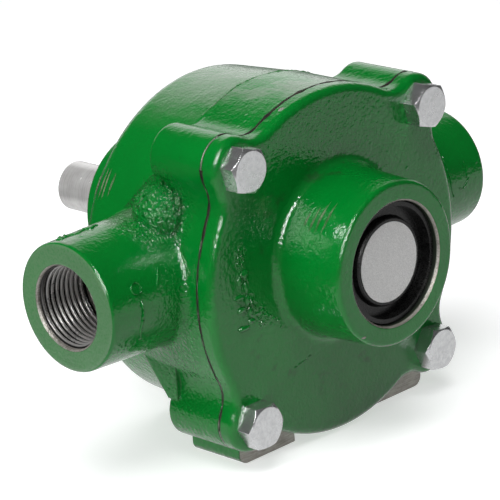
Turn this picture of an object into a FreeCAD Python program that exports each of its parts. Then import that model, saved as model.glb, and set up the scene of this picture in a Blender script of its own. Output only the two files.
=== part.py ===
import FreeCAD, Part
import math
import os
from types import SimpleNamespace

import Sketcher

# Foot-mounted roller pump, in millimetres.
# X runs across the two ports, Y runs to the rear along the drive shaft, Z is up.
# The origin is the middle of the two tapped foot holes, on the plane of the feet.

os.makedirs("parts", exist_ok=True)
doc = FreeCAD.newDocument("RollerPump")
sheet = doc.addObject("Spreadsheet::Sheet", "Dims")

# Driving sizes. Radii end in Radius, positions along the shaft are counted from the joint
# face between casing and cover, towards the rear for the casing and the front for the cover.
driving = {
    # round casing
    "eccentricity": 3.6,
    "chamberRadius": 41.3,
    "chamberDepth": 44.4,
    "flangeWall": 11.9,
    "flangeDepth": 21.5,
    "drumTaper": 1.8,
    "rearWall": 7.2,
    "drumRound": 5.5,
    "earRadius": 9.2,
    "earBlend": 10.0,
    "boltOut": 1.95,
    "castRound": 1.2,
    # feet
    "footDrop": 0.35,
    "footDepth": 20.0,
    "footInner": 17.2,
    "footOuter": 40.4,
    "footRoot": 2.55,
    "footRound": 3.0,
    "footHoleRadius": 3.3,
    "footHoleDepth": 11.0,
    # shaft bosses
    "bossRadius": 23.4,
    "bossTaper": 1.2,
    "bossBlend": 5.0,
    "bossRound": 1.3,
    "rearBossLength": 27.8,
    "lipBoreGap": 1.6625,
    "lipLand": 3.0,
    "sealBoreRadius": 14.2875,
    "bearingBoreRadius": 17.4625,
    "bearingInset": 1.969,
    "mouthChamfer": 0.5,
    # ports
    "portLength": 28.1,
    "portBack": 2.6,
    "portDrop": 0.4,
    "portFaceRadius": 19.4,
    "portRootRadius": 20.6,
    "portRootSink": 8.9,
    "portBlend": 2.4,
    "portRound": 1.3,
    "portThreadRadius": 12.55,
    "portThreadDepth": 20.0,
    "portPassageRadius": 10.5,
    "portPocketDepth": 2.5,
    "portPocketWidth": 30.0,
    "portPocketAngle": 50.0,
    # webs that tie each port to the ears, and the domed lug on top of its neck
    "webSink": 5.7,
    "webTop": 4.4,
    "webClear": 0.2,
    "lugRadius": 8.8,
    "lugSink": 0.4,
    "lugForward": 6.2,
    "lugRise": 20.2,
    # cover
    "coverThickness": 5.7,
    "rimRound": 2.3,
    "hubRadius": 24.8,
    "hubTaper": 1.3,
    "hubBlend": 3.0,
    "capBoreRadius": 18.73,
    # ring seal of the joint
    "ringInset": 2.7,
    "ringGrooveWidth": 3.0,
    "ringGrooveDepth": 2.1,
    "ringSlack": 0.1,
    # cover bolts, five sixteenths of an inch
    "boltRadius": 3.95,
    "boltHoleGap": 0.3,
    "boltTapGap": 0.05,
    "boltTapSpare": 0.5,
    "boltLength": 25.4,
    "boltHeadRadius": 7.332,
    "boltHeadHeight": 5.4,
    "boltHeadChamfer": 0.95,
    "boltTip": 0.9,
    # shaft and rotor
    "shaftRadius": 7.9375,
    "shaftFrontStick": 0.469,
    "shaftStick": 30.9,
    "shaftChamfer": 0.9,
    "reliefGap": 0.5,
    "reliefWidth": 1.2,
    "reliefDepth": 0.4,
    "slipGap": 0.02,
    "rotorGap": 0.3,
    "rotorSideGap": 0.1,
    "slotGap": 0.1,
    "slotSink": 0.2,
    "rollerSink": 1.975,
    "rollerSideGap": 0.3,
    "rollerChamfer": 0.8,
    "rotorChamfer": 0.5,
    "keyWidth": 4.7625,
    "keyLength": 25.4,
    "keySeat": 2.38125,
    "keyTopGap": 0.1,
    "screwRadius": 3.1,
    "screwGap": 0.075,
    "screwLength": 7.4,
    "screwPointGap": 0.15,
    "screwSink": 0.5875,
    "screwSocketRadius": 1.83,
    "screwSocketDepth": 3.2,
    "screwChamfer": 0.5,
    # ball bearings, five eighths by one and three eighths of an inch
    "bearingWidth": 8.731,
    "bearingFitGap": 0.0125,
    "ballPitchRadius": 12.7,
    "landStep": 2.0,
    "ballRadius": 2.38,
    "racewayGap": 0.04,
    "bearingChamfer": 0.5,
    "cageWall": 1.2,
    "cageWidth": 5.8,
    "cagePocketGap": 0.08,
    "shieldGap": 0.08,
    "shieldFit": 0.04,
    "shieldThickness": 0.7,
    "shieldRecess": 0.35,
    # lip seals
    "sealWidth": 6.6,
    "sealFit": 0.0175,
    "sealCaseWall": 0.8,
    "sealGap": 0.3,
    "sealToBearing": 2.6,
    "sealCaseGap": 2.4625,
    "lipRootGap": 1.3625,
    "lipRootThickness": 1.3,
    "lipTipGap": 0.0425,
    "lipTipDepth": 4.9,
    "lipNeckGap": 1.6125,
    "springGap": 0.1,
    "springWireRadius": 0.5,
    # cap and label
    "capFit": 0.05,
    "capSeatGap": 0.969,
    "capBackGap": 0.15,
    "capHeight": 4.95,
    "capSink": 1.9,
    "capRimWall": 1.78,
    "capFloorThickness": 1.85,
    "capDiscRadius": 13.3,
    "capDiscHeight": 3.75,
    "labelInset": 1.22,
    "labelThickness": 0.15,
}
ballCount = 9
rollerCount = 6


class Length:
    """A size that knows its number and the sheet expression that gives it."""

    def __init__(self, value, text):
        self.value = value
        self.text = text

    def join(self, sign, other, value):
        return Length(value, "({} {} {})".format(self.text, sign, asLength(other).text))

    def __add__(self, other):
        return self.join("+", other, self.value + asLength(other).value)

    def __sub__(self, other):
        return self.join("-", other, self.value - asLength(other).value)

    def __mul__(self, other):
        return self.join("*", other, self.value * asLength(other).value)

    def __truediv__(self, other):
        return self.join("/", other, self.value / asLength(other).value)

    def __neg__(self):
        return Length(-self.value, "(0 - {})".format(self.text))


def asLength(thing):
    if isinstance(thing, Length):
        return thing
    return Length(float(thing), "{:.10g}".format(float(thing)))


def fillSheet():
    lengths = {}
    for row, (name, value) in enumerate(driving.items(), start=1):
        sheet.set("A{}".format(row), name)
        sheet.set("B{}".format(row), "{:.6g}".format(value))
        sheet.setAlias("B{}".format(row), name)
        lengths[name] = Length(value, "Dims.{}".format(name))
    doc.recompute()
    return SimpleNamespace(**lengths)


d = fillSheet()
square = math.sqrt(0.5)

# casing and cover
d.flangeRadius = d.chamberRadius + d.flangeWall
d.drumRadius = d.flangeRadius - d.drumTaper
d.drumLength = d.chamberDepth + d.rearWall
d.boltOffset = (d.flangeRadius + d.boltOut) * square
d.shaftHeight = d.eccentricity + d.flangeRadius + d.footDrop
d.footHoleOffset = (d.footInner + d.footOuter) / 2
d.footTop = d.boltOffset + d.eccentricity + d.footRoot
d.ringGrooveInner = d.chamberRadius + d.ringInset
d.ringGrooveOuter = d.ringGrooveInner + d.ringGrooveWidth
d.bossRootRadius = d.bossRadius + d.bossTaper
d.hubRootRadius = d.hubRadius + d.hubTaper
d.rearBossEnd = d.drumLength + d.rearBossLength
d.boltHoleRadius = d.boltRadius + d.boltHoleGap
d.boltTapRadius = d.boltRadius + d.boltTapGap
d.boltTapDepth = d.boltLength - d.coverThickness + d.boltTapSpare

# ports
d.portY = d.chamberDepth / 2 + d.portBack
d.portFace = d.flangeRadius + d.portLength
d.portPocketRadius = d.chamberRadius + d.portPocketDepth
d.portRoot = d.flangeRadius - d.portRootSink
d.webReach = d.flangeRadius - d.webSink

# shaft line
d.frontBearingSeat = d.lipLand + d.sealGap + d.sealWidth + d.sealToBearing
d.rearBearingSeat = d.rearBossEnd - d.bearingWidth - d.bearingInset
d.shaftFront = d.frontBearingSeat + d.bearingWidth + d.shaftFrontStick
d.shaftRear = d.rearBossEnd + d.shaftStick
d.reliefStart = d.rearBossEnd + d.reliefGap
d.lipBoreRadius = d.shaftRadius + d.lipBoreGap

# rotor and rollers
d.rotorRadius = d.chamberRadius - d.eccentricity - d.rotorGap
d.screwReach = d.shaftRadius + d.screwPointGap
d.rotorHubRadius = d.screwReach + d.screwLength + d.screwSink
d.slotDepth = d.rotorRadius - d.rollerSink - d.slotSink - d.rotorHubRadius
d.rollerRadius = (d.slotDepth - d.slotGap) / 2
d.rollerCentre = d.rotorRadius - d.rollerRadius - d.rollerSink
d.slotRadius = d.rollerRadius + d.slotGap
d.slotCentre = d.rollerCentre - d.slotSink
d.screwHoleRadius = d.screwRadius + d.screwGap

# bearings
d.bearingOuterRadius = d.bearingBoreRadius - d.bearingFitGap
d.innerLandRadius = d.ballPitchRadius - d.landStep
d.outerLandRadius = d.ballPitchRadius + d.landStep
d.racewayRadius = d.ballRadius + d.racewayGap
d.cageInner = d.ballPitchRadius - d.cageWall / 2
d.cageOuter = d.ballPitchRadius + d.cageWall / 2
d.cagePocketRadius = d.ballRadius + d.cagePocketGap
d.shieldInner = d.innerLandRadius + d.shieldGap
d.shieldOuter = d.outerLandRadius - d.shieldFit

# lip seals
d.sealCaseRadius = d.sealBoreRadius - d.sealFit
d.sealCaseInner = d.shaftRadius + d.sealCaseGap
d.lipRootRadius = d.shaftRadius + d.lipRootGap
d.lipNeckRadius = d.shaftRadius + d.lipNeckGap
d.lipTipRadius = d.shaftRadius + d.lipTipGap
d.springCentreRadius = d.lipNeckRadius + d.springGap + d.springWireRadius

# cap and label
d.capSeat = d.frontBearingSeat + d.bearingWidth + d.capSeatGap
d.capBack = d.capSeat + d.capBackGap
d.capRimEnd = d.capBack + d.capHeight
d.capFloor = d.capBack + d.capFloorThickness
d.capRadius = d.capBoreRadius - d.capFit
d.capRimInner = d.capRadius - d.capRimWall
d.labelRadius = d.capDiscRadius - d.labelInset
d.labelFace = d.capBack + d.capDiscHeight + d.labelThickness
d.hubEnd = d.capRimEnd + d.capSink

jointY = -(d.footDepth / 2)


def bind(thing, prop, length):
    thing.setExpression(prop, asLength(length).text)


def place(thing, x, y, z, turn=None):
    """Put an object at a bound place, with an optional (axis, angle) turn."""
    spin = FreeCAD.Rotation(FreeCAD.Vector(*turn[0]), turn[1]) if turn else FreeCAD.Rotation()
    spot = FreeCAD.Vector(*[asLength(v).value for v in (x, y, z)])
    thing.Placement = FreeCAD.Placement(spot, spin)
    for axis, value in zip("xyz", (x, y, z)):
        bind(thing, "Placement.Base.{}".format(axis), value)


def newBody(label):
    body = doc.addObject("PartDesign::Body", label)
    body.Label = label
    return body


def originPart(body, role):
    return [f for f in body.Origin.OriginFeatures if f.Role == role][0]


def newSketch(body, name, plane, shift=None):
    """Start a sketch on one of the body's own planes, moved by three bound lengths."""
    sketch = body.newObject("Sketcher::SketchObject", name)
    sketch.AttachmentSupport = [(originPart(body, plane), "")]
    sketch.MapMode = "FlatFace"
    for axis, value in zip("xyz", shift or ()):
        bind(sketch, "AttachmentOffset.Base.{}".format(axis), value)
    return sketch


def pinPoint(sketch, geo, end, x, y):
    """Hold one end of a line, or a circle's centre, at a bound place."""
    for kind, axisGeo, length in (("DistanceX", -2, asLength(x)), ("DistanceY", -1, asLength(y))):
        if abs(length.value) < 1e-9:
            sketch.addConstraint(Sketcher.Constraint("PointOnObject", geo, end, axisGeo))
            continue
        index = sketch.addConstraint(Sketcher.Constraint(kind, -1, 1, geo, end, length.value))
        sketch.setExpression("Constraints[{}]".format(index), length.text)


def drawLoop(sketch, points):
    """Draw one closed outline of straight lines through bound points."""
    spots = [FreeCAD.Vector(asLength(x).value, asLength(y).value, 0) for x, y in points]
    first = len(sketch.Geometry)
    count = len(points)
    for i in range(count):
        sketch.addGeometry(Part.LineSegment(spots[i], spots[(i + 1) % count]), False)
    for i in range(count):
        after = first + (i + 1) % count
        sketch.addConstraint(Sketcher.Constraint("Coincident", first + i, 2, after, 1))
    for i, (x, y) in enumerate(points):
        pinPoint(sketch, first + i, 1, x, y)


def drawCircle(sketch, x, y, radius):
    centre = FreeCAD.Vector(asLength(x).value, asLength(y).value, 0)
    circle = Part.Circle(centre, FreeCAD.Vector(0, 0, 1), radius.value)
    geo = sketch.addGeometry(circle, False)
    pinPoint(sketch, geo, 3, x, y)
    index = sketch.addConstraint(Sketcher.Constraint("Radius", geo, radius.value))
    sketch.setExpression("Constraints[{}]".format(index), radius.text)


def extrude(body, kind, name, sketch, length, ahead=True):
    """Pad or pocket a sketch along the positive axis its plane faces, or against it."""
    doc.recompute()
    before = body.Shape.Volume if kind == "Pocket" else 0
    normal = sketch.Placement.Rotation.multVec(FreeCAD.Vector(0, 0, 1))
    alongNormal = (sum(normal) > 0) == ahead
    feature = body.newObject("PartDesign::{}".format(kind), name)
    feature.Profile = sketch
    feature.Reversed = alongNormal if kind == "Pocket" else not alongNormal
    feature.Length = asLength(length).value
    bind(feature, "Length", length)
    sketch.Visibility = False
    doc.recompute()
    if kind == "Pocket" and before - feature.Shape.Volume < 0.1:
        raise RuntimeError("{} cuts nothing".format(name))
    return feature


def turn(body, kind, name, points, shift=None, axis="V_Axis", angle=360, both=False):
    """Revolve an outline about a sketch axis, adding or cutting."""
    sketch = newSketch(body, name + "Sketch", "XY_Plane", shift)
    drawLoop(sketch, points)
    feature = body.newObject("PartDesign::{}".format(kind), name)
    feature.Profile = sketch
    feature.ReferenceAxis = (sketch, [axis])
    feature.Midplane = both
    feature.Angle = asLength(angle).value
    bind(feature, "Angle", angle)
    doc.recompute()
    return feature


def dress(body, kind, name, base, edges, size):
    """Round or chamfer the chosen edges of the last feature."""
    feature = body.newObject("PartDesign::{}".format(kind), name)
    feature.Base = (base, ["Edge{}".format(i + 1) for i in edges])
    prop = "Radius" if kind == "Fillet" else "Size"
    setattr(feature, prop, size.value)
    bind(feature, prop, size)
    doc.recompute()
    return feature


def circleEdges(shape, radius, y=None):
    """Edges that lie on a circle of this radius about a Y axis, at this height along it."""
    found = []
    for i, edge in enumerate(shape.Edges):
        curve = edge.Curve
        if not isinstance(curve, Part.Circle) or abs(curve.Radius - radius) > 1e-4:
            continue
        if abs(abs(curve.Axis.y) - 1) > 1e-6:
            continue
        if y is None or abs(curve.Center.y - y) < 1e-4:
            found.append(i)
    return found


def edgesAt(shape, test):
    return [i for i, edge in enumerate(shape.Edges) if test(edge)]


def sameY(edge, y):
    return all(abs(v.Point.y - y) < 1e-4 for v in edge.Vertexes)


def spun(label, points, x, y, z, turnBy=None):
    """A piece that is one outline turned about the Y axis."""
    body = newBody(label)
    turn(body, "Revolution", label + "Turned", points)
    place(body, x, y, z, turnBy)
    return body


front = ((0, 0, 1), 180)


def earOutline(body, name, depth):
    """The round flange with its four bolt ears, blended by hollow rounds."""
    disc = newSketch(body, name + "DiscSketch", "XZ_Plane")
    drawCircle(disc, 0, -d.eccentricity, d.flangeRadius)
    extrude(body, "Pad", name + "Disc", disc, depth)
    ears = newSketch(body, name + "EarSketch", "XZ_Plane")
    for sx in (-1, 1):
        for sz in (-1, 1):
            drawCircle(ears, d.boltOffset * sx, d.boltOffset * sz - d.eccentricity, d.earRadius)
    pad = extrude(body, "Pad", name + "Ears", ears, depth)

    def isCorner(edge):
        if not isinstance(edge.Curve, (Part.Line, Part.LineSegment)) or len(edge.Vertexes) < 2:
            return False
        one, two = [v.Point for v in edge.Vertexes]
        along = abs(abs(one.y - two.y) - depth.value) < 1e-4
        reach = math.hypot(one.x, one.z + d.eccentricity.value)
        return along and abs(reach - d.flangeRadius.value) < 1e-3 and abs(one.x - two.x) < 1e-6
    corners = edgesAt(pad.Shape, isCorner)
    corners = [i for i in corners if abs(abs(pad.Shape.Edges[i].Vertexes[0].Point.x) - 0) > 5]
    return dress(body, "Fillet", name + "EarBlend", pad, corners, d.earBlend)


def boltCircles(body, name, radius):
    sketch = newSketch(body, name, "XZ_Plane")
    for sx in (-1, 1):
        for sz in (-1, 1):
            drawCircle(sketch, d.boltOffset * sx, d.boltOffset * sz - d.eccentricity, radius)
    return sketch


def makeCasing():
    body = newBody("pump_body")
    flange = earOutline(body, "Flange", d.flangeDepth)
    rear = [i for i, edge in enumerate(flange.Shape.Edges) if sameY(edge, d.flangeDepth.value)]
    dress(body, "Fillet", "EarRound", flange, rear, d.castRound)

    drum = turn(body, "Revolution", "Drum", [
        (0, 1),
        (d.flangeRadius, 1),
        (d.flangeRadius, d.flangeDepth),
        (d.drumRadius, d.drumLength),
        (0, d.drumLength),
    ], (0, 0, -d.eccentricity))
    rearRim = circleEdges(drum.Shape, d.drumRadius.value, d.drumLength.value)
    dress(body, "Fillet", "DrumRound", drum, rearRim, d.drumRound)

    boss = turn(body, "Revolution", "RearBoss", [
        (0, d.chamberDepth + 1),
        (d.bossRootRadius, d.chamberDepth + 1),
        (d.bossRootRadius, d.drumLength),
        (d.bossRadius, d.rearBossEnd),
        (0, d.rearBossEnd),
    ])
    foot = circleEdges(boss.Shape, d.bossRootRadius.value, d.drumLength.value)
    blend = dress(body, "Fillet", "RearBossBlend", boss, foot, d.bossBlend)
    rim = circleEdges(blend.Shape, d.bossRadius.value, d.rearBossEnd.value)
    dress(body, "Fillet", "RearBossRound", blend, rim, d.bossRound)

    feet = newSketch(body, "FeetSketch", "XZ_Plane")
    for sx in (-1, 1):
        drawLoop(feet, [
            (d.footInner * sx, -d.shaftHeight),
            (d.footOuter * sx, -d.shaftHeight),
            (d.footOuter * sx, -d.footTop),
            (d.footInner * sx, -d.footTop),
        ])
    feetPad = extrude(body, "Pad", "Feet", feet, d.footDepth)

    def isFootCorner(edge):
        if len(edge.Vertexes) < 2:
            return False
        one, two = [v.Point for v in edge.Vertexes]
        low = max(one.z, two.z) < -d.shaftHeight.value + 1e-4
        outer = abs(abs(one.x) - d.footOuter.value) < 1e-4
        return low and outer and abs(one.x - two.x) < 1e-4
    dress(body, "Fillet", "FeetRound", feetPad, edgesAt(feetPad.Shape, isFootCorner), d.footRound)

    for side, sx in (("Left", -1), ("Right", 1)):
        made = turn(body, "Revolution", side + "Neck", [
            (d.portRoot * sx, 0),
            (d.portRoot * sx, d.portRootRadius),
            (d.portFace * sx, d.portFaceRadius),
            (d.portFace * sx, 0),
        ], (0, d.portY, -d.portDrop), "H_Axis")

    def isPortRim(edge):
        return all(abs(abs(v.Point.x) - d.portFace.value) < 1e-4 for v in edge.Vertexes)

    def isPortRoot(edge):
        """Whether the whole edge lies on the neck's cone, clear of its outer end."""
        taper = (d.portRootRadius - d.portFaceRadius) / (d.portFace - d.portRoot)
        for p in edge.discretize(5):
            off = math.hypot(p.y - d.portY.value, p.z + d.portDrop.value)
            cone = d.portFaceRadius.value + taper.value * (d.portFace.value - abs(p.x))
            if abs(off - cone) > 0.02 or abs(p.x) > d.portFace.value - 10:
                return False
            if abs(p.x) < d.portRoot.value + 0.5:
                return False
        return True
    rims = dress(body, "Fillet", "PortRound", made, edgesAt(made.Shape, isPortRim), d.portRound)
    dress(body, "Fillet", "PortBlend", rims, edgesAt(rims.Shape, isPortRoot), d.portBlend)

    tangent = d.portRootRadius * square
    webRear = d.portY + tangent + d.webClear
    webHigh = d.boltOffset - d.eccentricity - d.webTop
    webLow = -(d.boltOffset) - d.eccentricity + d.webTop
    webStart = d.chamberRadius - 2.0
    for side, sx in (("Left", -1), ("Right", 1)):
        web = newSketch(body, side + "WebSketch", "YZ_Plane", (0, 0, webStart * sx))
        drawLoop(web, [
            (d.flangeDepth - 4, webHigh),
            (d.flangeDepth, webHigh),
            (webRear, tangent - d.portDrop),
            (webRear, -tangent - d.portDrop),
            (d.flangeDepth, webLow),
            (d.flangeDepth - 4, webLow),
        ])
        extrude(body, "Pad", side + "Web", web, d.webReach - webStart, sx > 0)
        lug = body.newObject("PartDesign::AdditiveSphere", side + "Lug")
        bind(lug, "Radius", d.lugRadius)
        bind(lug, "Placement.Base.x", (d.webReach - d.lugSink) * sx)
        bind(lug, "Placement.Base.y", d.portY - d.lugForward)
        bind(lug, "Placement.Base.z", d.lugRise - d.portDrop)
        doc.recompute()

    chamber = newSketch(body, "ChamberSketch", "XZ_Plane")
    drawCircle(chamber, 0, -d.eccentricity, d.chamberRadius)
    extrude(body, "Pocket", "Chamber", chamber, d.chamberDepth)

    turn(body, "Groove", "RearBore", [
        (0, d.chamberDepth - 1),
        (d.lipBoreRadius, d.chamberDepth - 1),
        (d.lipBoreRadius, d.chamberDepth + d.lipLand),
        (d.sealBoreRadius, d.chamberDepth + d.lipLand),
        (d.sealBoreRadius, d.rearBearingSeat),
        (d.bearingBoreRadius, d.rearBearingSeat),
        (d.bearingBoreRadius, d.rearBossEnd - d.mouthChamfer),
        (d.bearingBoreRadius + d.mouthChamfer * 3, d.rearBossEnd + d.mouthChamfer * 2),
        (0, d.rearBossEnd + d.mouthChamfer * 2),
    ])

    mouth = d.portFace + 1
    thread = d.portFace - d.portThreadDepth
    turn(body, "Groove", "PortBore", [
        (-mouth, 0),
        (-mouth, d.portThreadRadius + d.mouthChamfer * 3),
        (-(d.portFace - d.mouthChamfer), d.portThreadRadius),
        (-thread, d.portThreadRadius),
        (-(thread - 2), d.portPassageRadius),
        (thread - 2, d.portPassageRadius),
        (thread, d.portThreadRadius),
        (d.portFace - d.mouthChamfer, d.portThreadRadius),
        (mouth, d.portThreadRadius + d.mouthChamfer * 3),
        (mouth, 0),
    ], (0, d.portY, -d.portDrop), "H_Axis")

    half = d.portPocketWidth / 2
    for side, sx in (("Left", -1), ("Right", 1)):
        turn(body, "Groove", side + "PortPocket", [
            ((d.chamberRadius - 1) * sx, d.portY - half),
            (d.portPocketRadius * sx, d.portY - half),
            (d.portPocketRadius * sx, d.portY + half),
            ((d.chamberRadius - 1) * sx, d.portY + half),
        ], (0, 0, -d.eccentricity), "V_Axis", d.portPocketAngle, True)

    turn(body, "Groove", "RingGroove", [
        (d.ringGrooveInner, -1),
        (d.ringGrooveOuter, -1),
        (d.ringGrooveOuter, d.ringGrooveDepth),
        (d.ringGrooveInner, d.ringGrooveDepth),
    ], (0, 0, -d.eccentricity))

    taps = boltCircles(body, "TapSketch", d.boltTapRadius)
    extrude(body, "Pocket", "CoverTaps", taps, d.boltTapDepth)

    footHoles = newSketch(body, "FootHoleSketch", "XY_Plane", (0, 0, -d.shaftHeight))
    for sx in (-1, 1):
        drawCircle(footHoles, d.footHoleOffset * sx, d.footDepth / 2, d.footHoleRadius)
    extrude(body, "Pocket", "FootTaps", footHoles, d.footHoleDepth)
    place(body, 0, jointY, d.shaftHeight)
    return body


def makeCover():
    body = newBody("front_cover")
    blended = earOutline(body, "Cover", d.coverThickness)
    rim = [i for i, edge in enumerate(blended.Shape.Edges) if sameY(edge, d.coverThickness.value)]
    dress(body, "Fillet", "CoverRim", blended, rim, d.rimRound)
    hub = turn(body, "Revolution", "Hub", [
        (0, 1),
        (d.hubRootRadius, 1),
        (d.hubRootRadius, d.coverThickness),
        (d.hubRadius, d.hubEnd),
        (0, d.hubEnd),
    ])
    foot = circleEdges(hub.Shape, d.hubRootRadius.value, d.coverThickness.value)
    blend = dress(body, "Fillet", "HubBlend", hub, foot, d.hubBlend)
    edge = circleEdges(blend.Shape, d.hubRadius.value, d.hubEnd.value)
    dress(body, "Fillet", "HubRound", blend, edge, d.bossRound)
    turn(body, "Groove", "CoverBore", [
        (0, -1),
        (d.lipBoreRadius, -1),
        (d.lipBoreRadius, d.lipLand),
        (d.sealBoreRadius, d.lipLand),
        (d.sealBoreRadius, d.frontBearingSeat),
        (d.bearingBoreRadius, d.frontBearingSeat),
        (d.bearingBoreRadius, d.capSeat),
        (d.capBoreRadius, d.capSeat),
        (d.capBoreRadius, d.hubEnd - d.mouthChamfer),
        (d.capBoreRadius + d.mouthChamfer * 3, d.hubEnd + d.mouthChamfer * 2),
        (0, d.hubEnd + d.mouthChamfer * 2),
    ])
    holes = boltCircles(body, "BoltHoleSketch", d.boltHoleRadius)
    extrude(body, "Pocket", "BoltHoles", holes, d.coverThickness + 5)
    place(body, 0, jointY, d.shaftHeight, front)
    return body


def group(label, things):
    made = doc.addObject("Part::Compound", label)
    made.Label = label
    made.Links = things
    return made


def makeBolt(name, x, z, headTurn):
    """One hexagon head bolt, its washer face on the cover, its shank in the casing."""
    body = newBody(name)
    head = newSketch(body, name + "HeadSketch", "XZ_Plane")
    corners = []
    for i in range(6):
        angle = math.radians(headTurn + 60 * i)
        corners.append((d.boltHeadRadius * math.cos(angle), d.boltHeadRadius * math.sin(angle)))
    drawLoop(head, corners)
    extrude(body, "Pad", name + "Head", head, d.boltHeadHeight)
    flat = math.cos(math.pi / 6)
    turn(body, "Groove", name + "HeadChamfer", [
        (d.boltHeadRadius * flat * 0.95, d.boltHeadHeight + 1),
        (d.boltHeadRadius * flat * 0.95, d.boltHeadHeight),
        (d.boltHeadRadius + 1, d.boltHeadHeight - d.boltHeadChamfer - 0.6),
        (d.boltHeadRadius + 1, d.boltHeadHeight + 1),
    ])
    turn(body, "Revolution", name + "Shank", [
        (0, -d.boltLength),
        (d.boltRadius - d.boltTip, -d.boltLength),
        (d.boltRadius, d.boltTip - d.boltLength),
        (d.boltRadius, 0.5),
        (0, 0.5),
    ])
    place(body, x, jointY - d.coverThickness, z, front)
    return body


def makeBolts():
    centre = d.shaftHeight - d.eccentricity
    bolts = []
    for i, (sx, sz, headTurn) in enumerate(((-1, 1, 15), (1, 1, 15), (-1, -1, 0), (1, -1, 5))):
        name = "Bolt{}".format(i + 1)
        bolts.append(makeBolt(name, d.boltOffset * sx, centre + d.boltOffset * sz, headTurn))
    return group("cover_bolts", bolts)


def makeJointRing():
    low = d.ringGrooveInner + d.ringSlack
    high = d.ringGrooveOuter - d.ringSlack
    corner = 0.6
    return spun("cover_o_ring", [
        (low + corner, 0),
        (high - corner, 0),
        (high, corner),
        (high, d.ringGrooveDepth - corner),
        (high - corner, d.ringGrooveDepth),
        (low + corner, d.ringGrooveDepth),
        (low, d.ringGrooveDepth - corner),
        (low, corner),
    ], 0, jointY, d.shaftHeight - d.eccentricity)


def makeShaft():
    length = d.shaftFront + d.shaftRear
    relief = d.shaftFront + d.reliefStart
    body = newBody("drive_shaft")
    turn(body, "Revolution", "ShaftTurned", [
        (0, 0),
        (d.shaftRadius - d.shaftChamfer, 0),
        (d.shaftRadius, d.shaftChamfer),
        (d.shaftRadius, relief),
        (d.shaftRadius - d.reliefDepth, relief),
        (d.shaftRadius - d.reliefDepth, relief + d.reliefWidth),
        (d.shaftRadius, relief + d.reliefWidth),
        (d.shaftRadius, length - d.shaftChamfer),
        (d.shaftRadius - d.shaftChamfer, length),
        (0, length),
    ])
    middle = d.shaftFront + d.chamberDepth / 2
    seat = newSketch(body, "KeySeatSketch", "XY_Plane", (0, 0, d.shaftRadius - d.keySeat))
    wide = d.keyWidth / 2
    drawLoop(seat, [
        (-wide, middle - d.keyLength / 2),
        (wide, middle - d.keyLength / 2),
        (wide, middle + d.keyLength / 2),
        (-wide, middle + d.keyLength / 2),
    ])
    extrude(body, "Pocket", "KeySeat", seat, d.keySeat + 2)
    place(body, 0, jointY - d.shaftFront, d.shaftHeight)
    return body


def makeRotor():
    width = d.chamberDepth - d.rotorSideGap * 2
    body = newBody("rotor")
    disc = newSketch(body, "RotorSketch", "XZ_Plane")
    drawCircle(disc, 0, 0, d.rotorRadius)
    pad = extrude(body, "Pad", "RotorDisc", disc, width)
    rims = circleEdges(pad.Shape, d.rotorRadius.value)
    dress(body, "Chamfer", "RotorRims", pad, rims, d.rotorChamfer)
    bottoms = newSketch(body, "SlotBottomSketch", "XZ_Plane")
    drawCircle(bottoms, d.slotCentre, 0, d.slotRadius)
    cutOne = extrude(body, "Pocket", "SlotBottom", bottoms, width + 1)
    mouths = newSketch(body, "SlotMouthSketch", "XZ_Plane")
    drawLoop(mouths, [
        (d.slotCentre, -d.slotRadius),
        (d.rotorRadius + 3, -d.slotRadius),
        (d.rotorRadius + 3, d.slotRadius),
        (d.slotCentre, d.slotRadius),
    ])
    cutTwo = extrude(body, "Pocket", "SlotMouth", mouths, width + 1)
    around = body.newObject("PartDesign::PolarPattern", "Slots")
    around.Originals = [cutOne, cutTwo]
    around.Axis = (originPart(body, "Y_Axis"), [""])
    around.Angle = 360
    around.Occurrences = rollerCount
    body.Tip = around
    doc.recompute()
    bore = newSketch(body, "RotorBoreSketch", "XZ_Plane")
    drawCircle(bore, 0, 0, d.shaftRadius + d.slipGap)
    extrude(body, "Pocket", "RotorBore", bore, width + 1)
    way = newSketch(body, "KeywaySketch", "XZ_Plane")
    wide = d.keyWidth / 2 + d.slipGap
    top = d.shaftRadius + d.keyWidth - d.keySeat + d.keyTopGap
    drawLoop(way, [(-wide, 0), (wide, 0), (wide, top), (-wide, top)])
    extrude(body, "Pocket", "Keyway", way, width + 1)
    screws = newSketch(body, "ScrewHoleSketch", "YZ_Plane", (0, 0, -(d.slotCentre)))
    drawCircle(screws, width / 2, 0, d.screwHoleRadius)
    extrude(body, "Pocket", "ScrewHoles", screws, d.slotCentre * 2)
    place(body, 0, jointY + d.rotorSideGap, d.shaftHeight)
    return body


def makeKey():
    key = doc.addObject("Part::Box", "rotor_key")
    key.Label = "rotor_key"
    bind(key, "Length", d.keyWidth)
    bind(key, "Width", d.keyLength)
    bind(key, "Height", d.keyWidth)
    middle = jointY + d.chamberDepth / 2
    base = d.shaftHeight + d.shaftRadius - d.keySeat
    place(key, -(d.keyWidth / 2), middle - d.keyLength / 2, base)
    return key


def makeScrew(name, angle):
    """One set screw that holds the rotor to the shaft, its point on the shaft."""
    body = newBody(name)
    turn(body, "Revolution", name + "Turned", [
        (0, 0.6),
        (d.screwRadius - 1.4, 0),
        (d.screwRadius - 0.9, 0),
        (d.screwRadius, 0.9),
        (d.screwRadius, d.screwLength - d.screwChamfer),
        (d.screwRadius - d.screwChamfer, d.screwLength),
        (0, d.screwLength),
    ])
    socket = newSketch(body, name + "SocketSketch", "XZ_Plane", (0, 0, -(d.screwLength)))
    corners = []
    for i in range(6):
        turnBy = math.radians(30 + 60 * i)
        corners.append((d.screwSocketRadius * math.cos(turnBy), d.screwSocketRadius * math.sin(turnBy)))
    drawLoop(socket, corners)
    extrude(body, "Pocket", name + "Socket", socket, d.screwSocketDepth, False)
    side = -1 if angle > 0 else 1
    place(body, d.screwReach * side, jointY + d.chamberDepth / 2, d.shaftHeight, ((0, 0, 1), angle))
    return body


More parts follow.
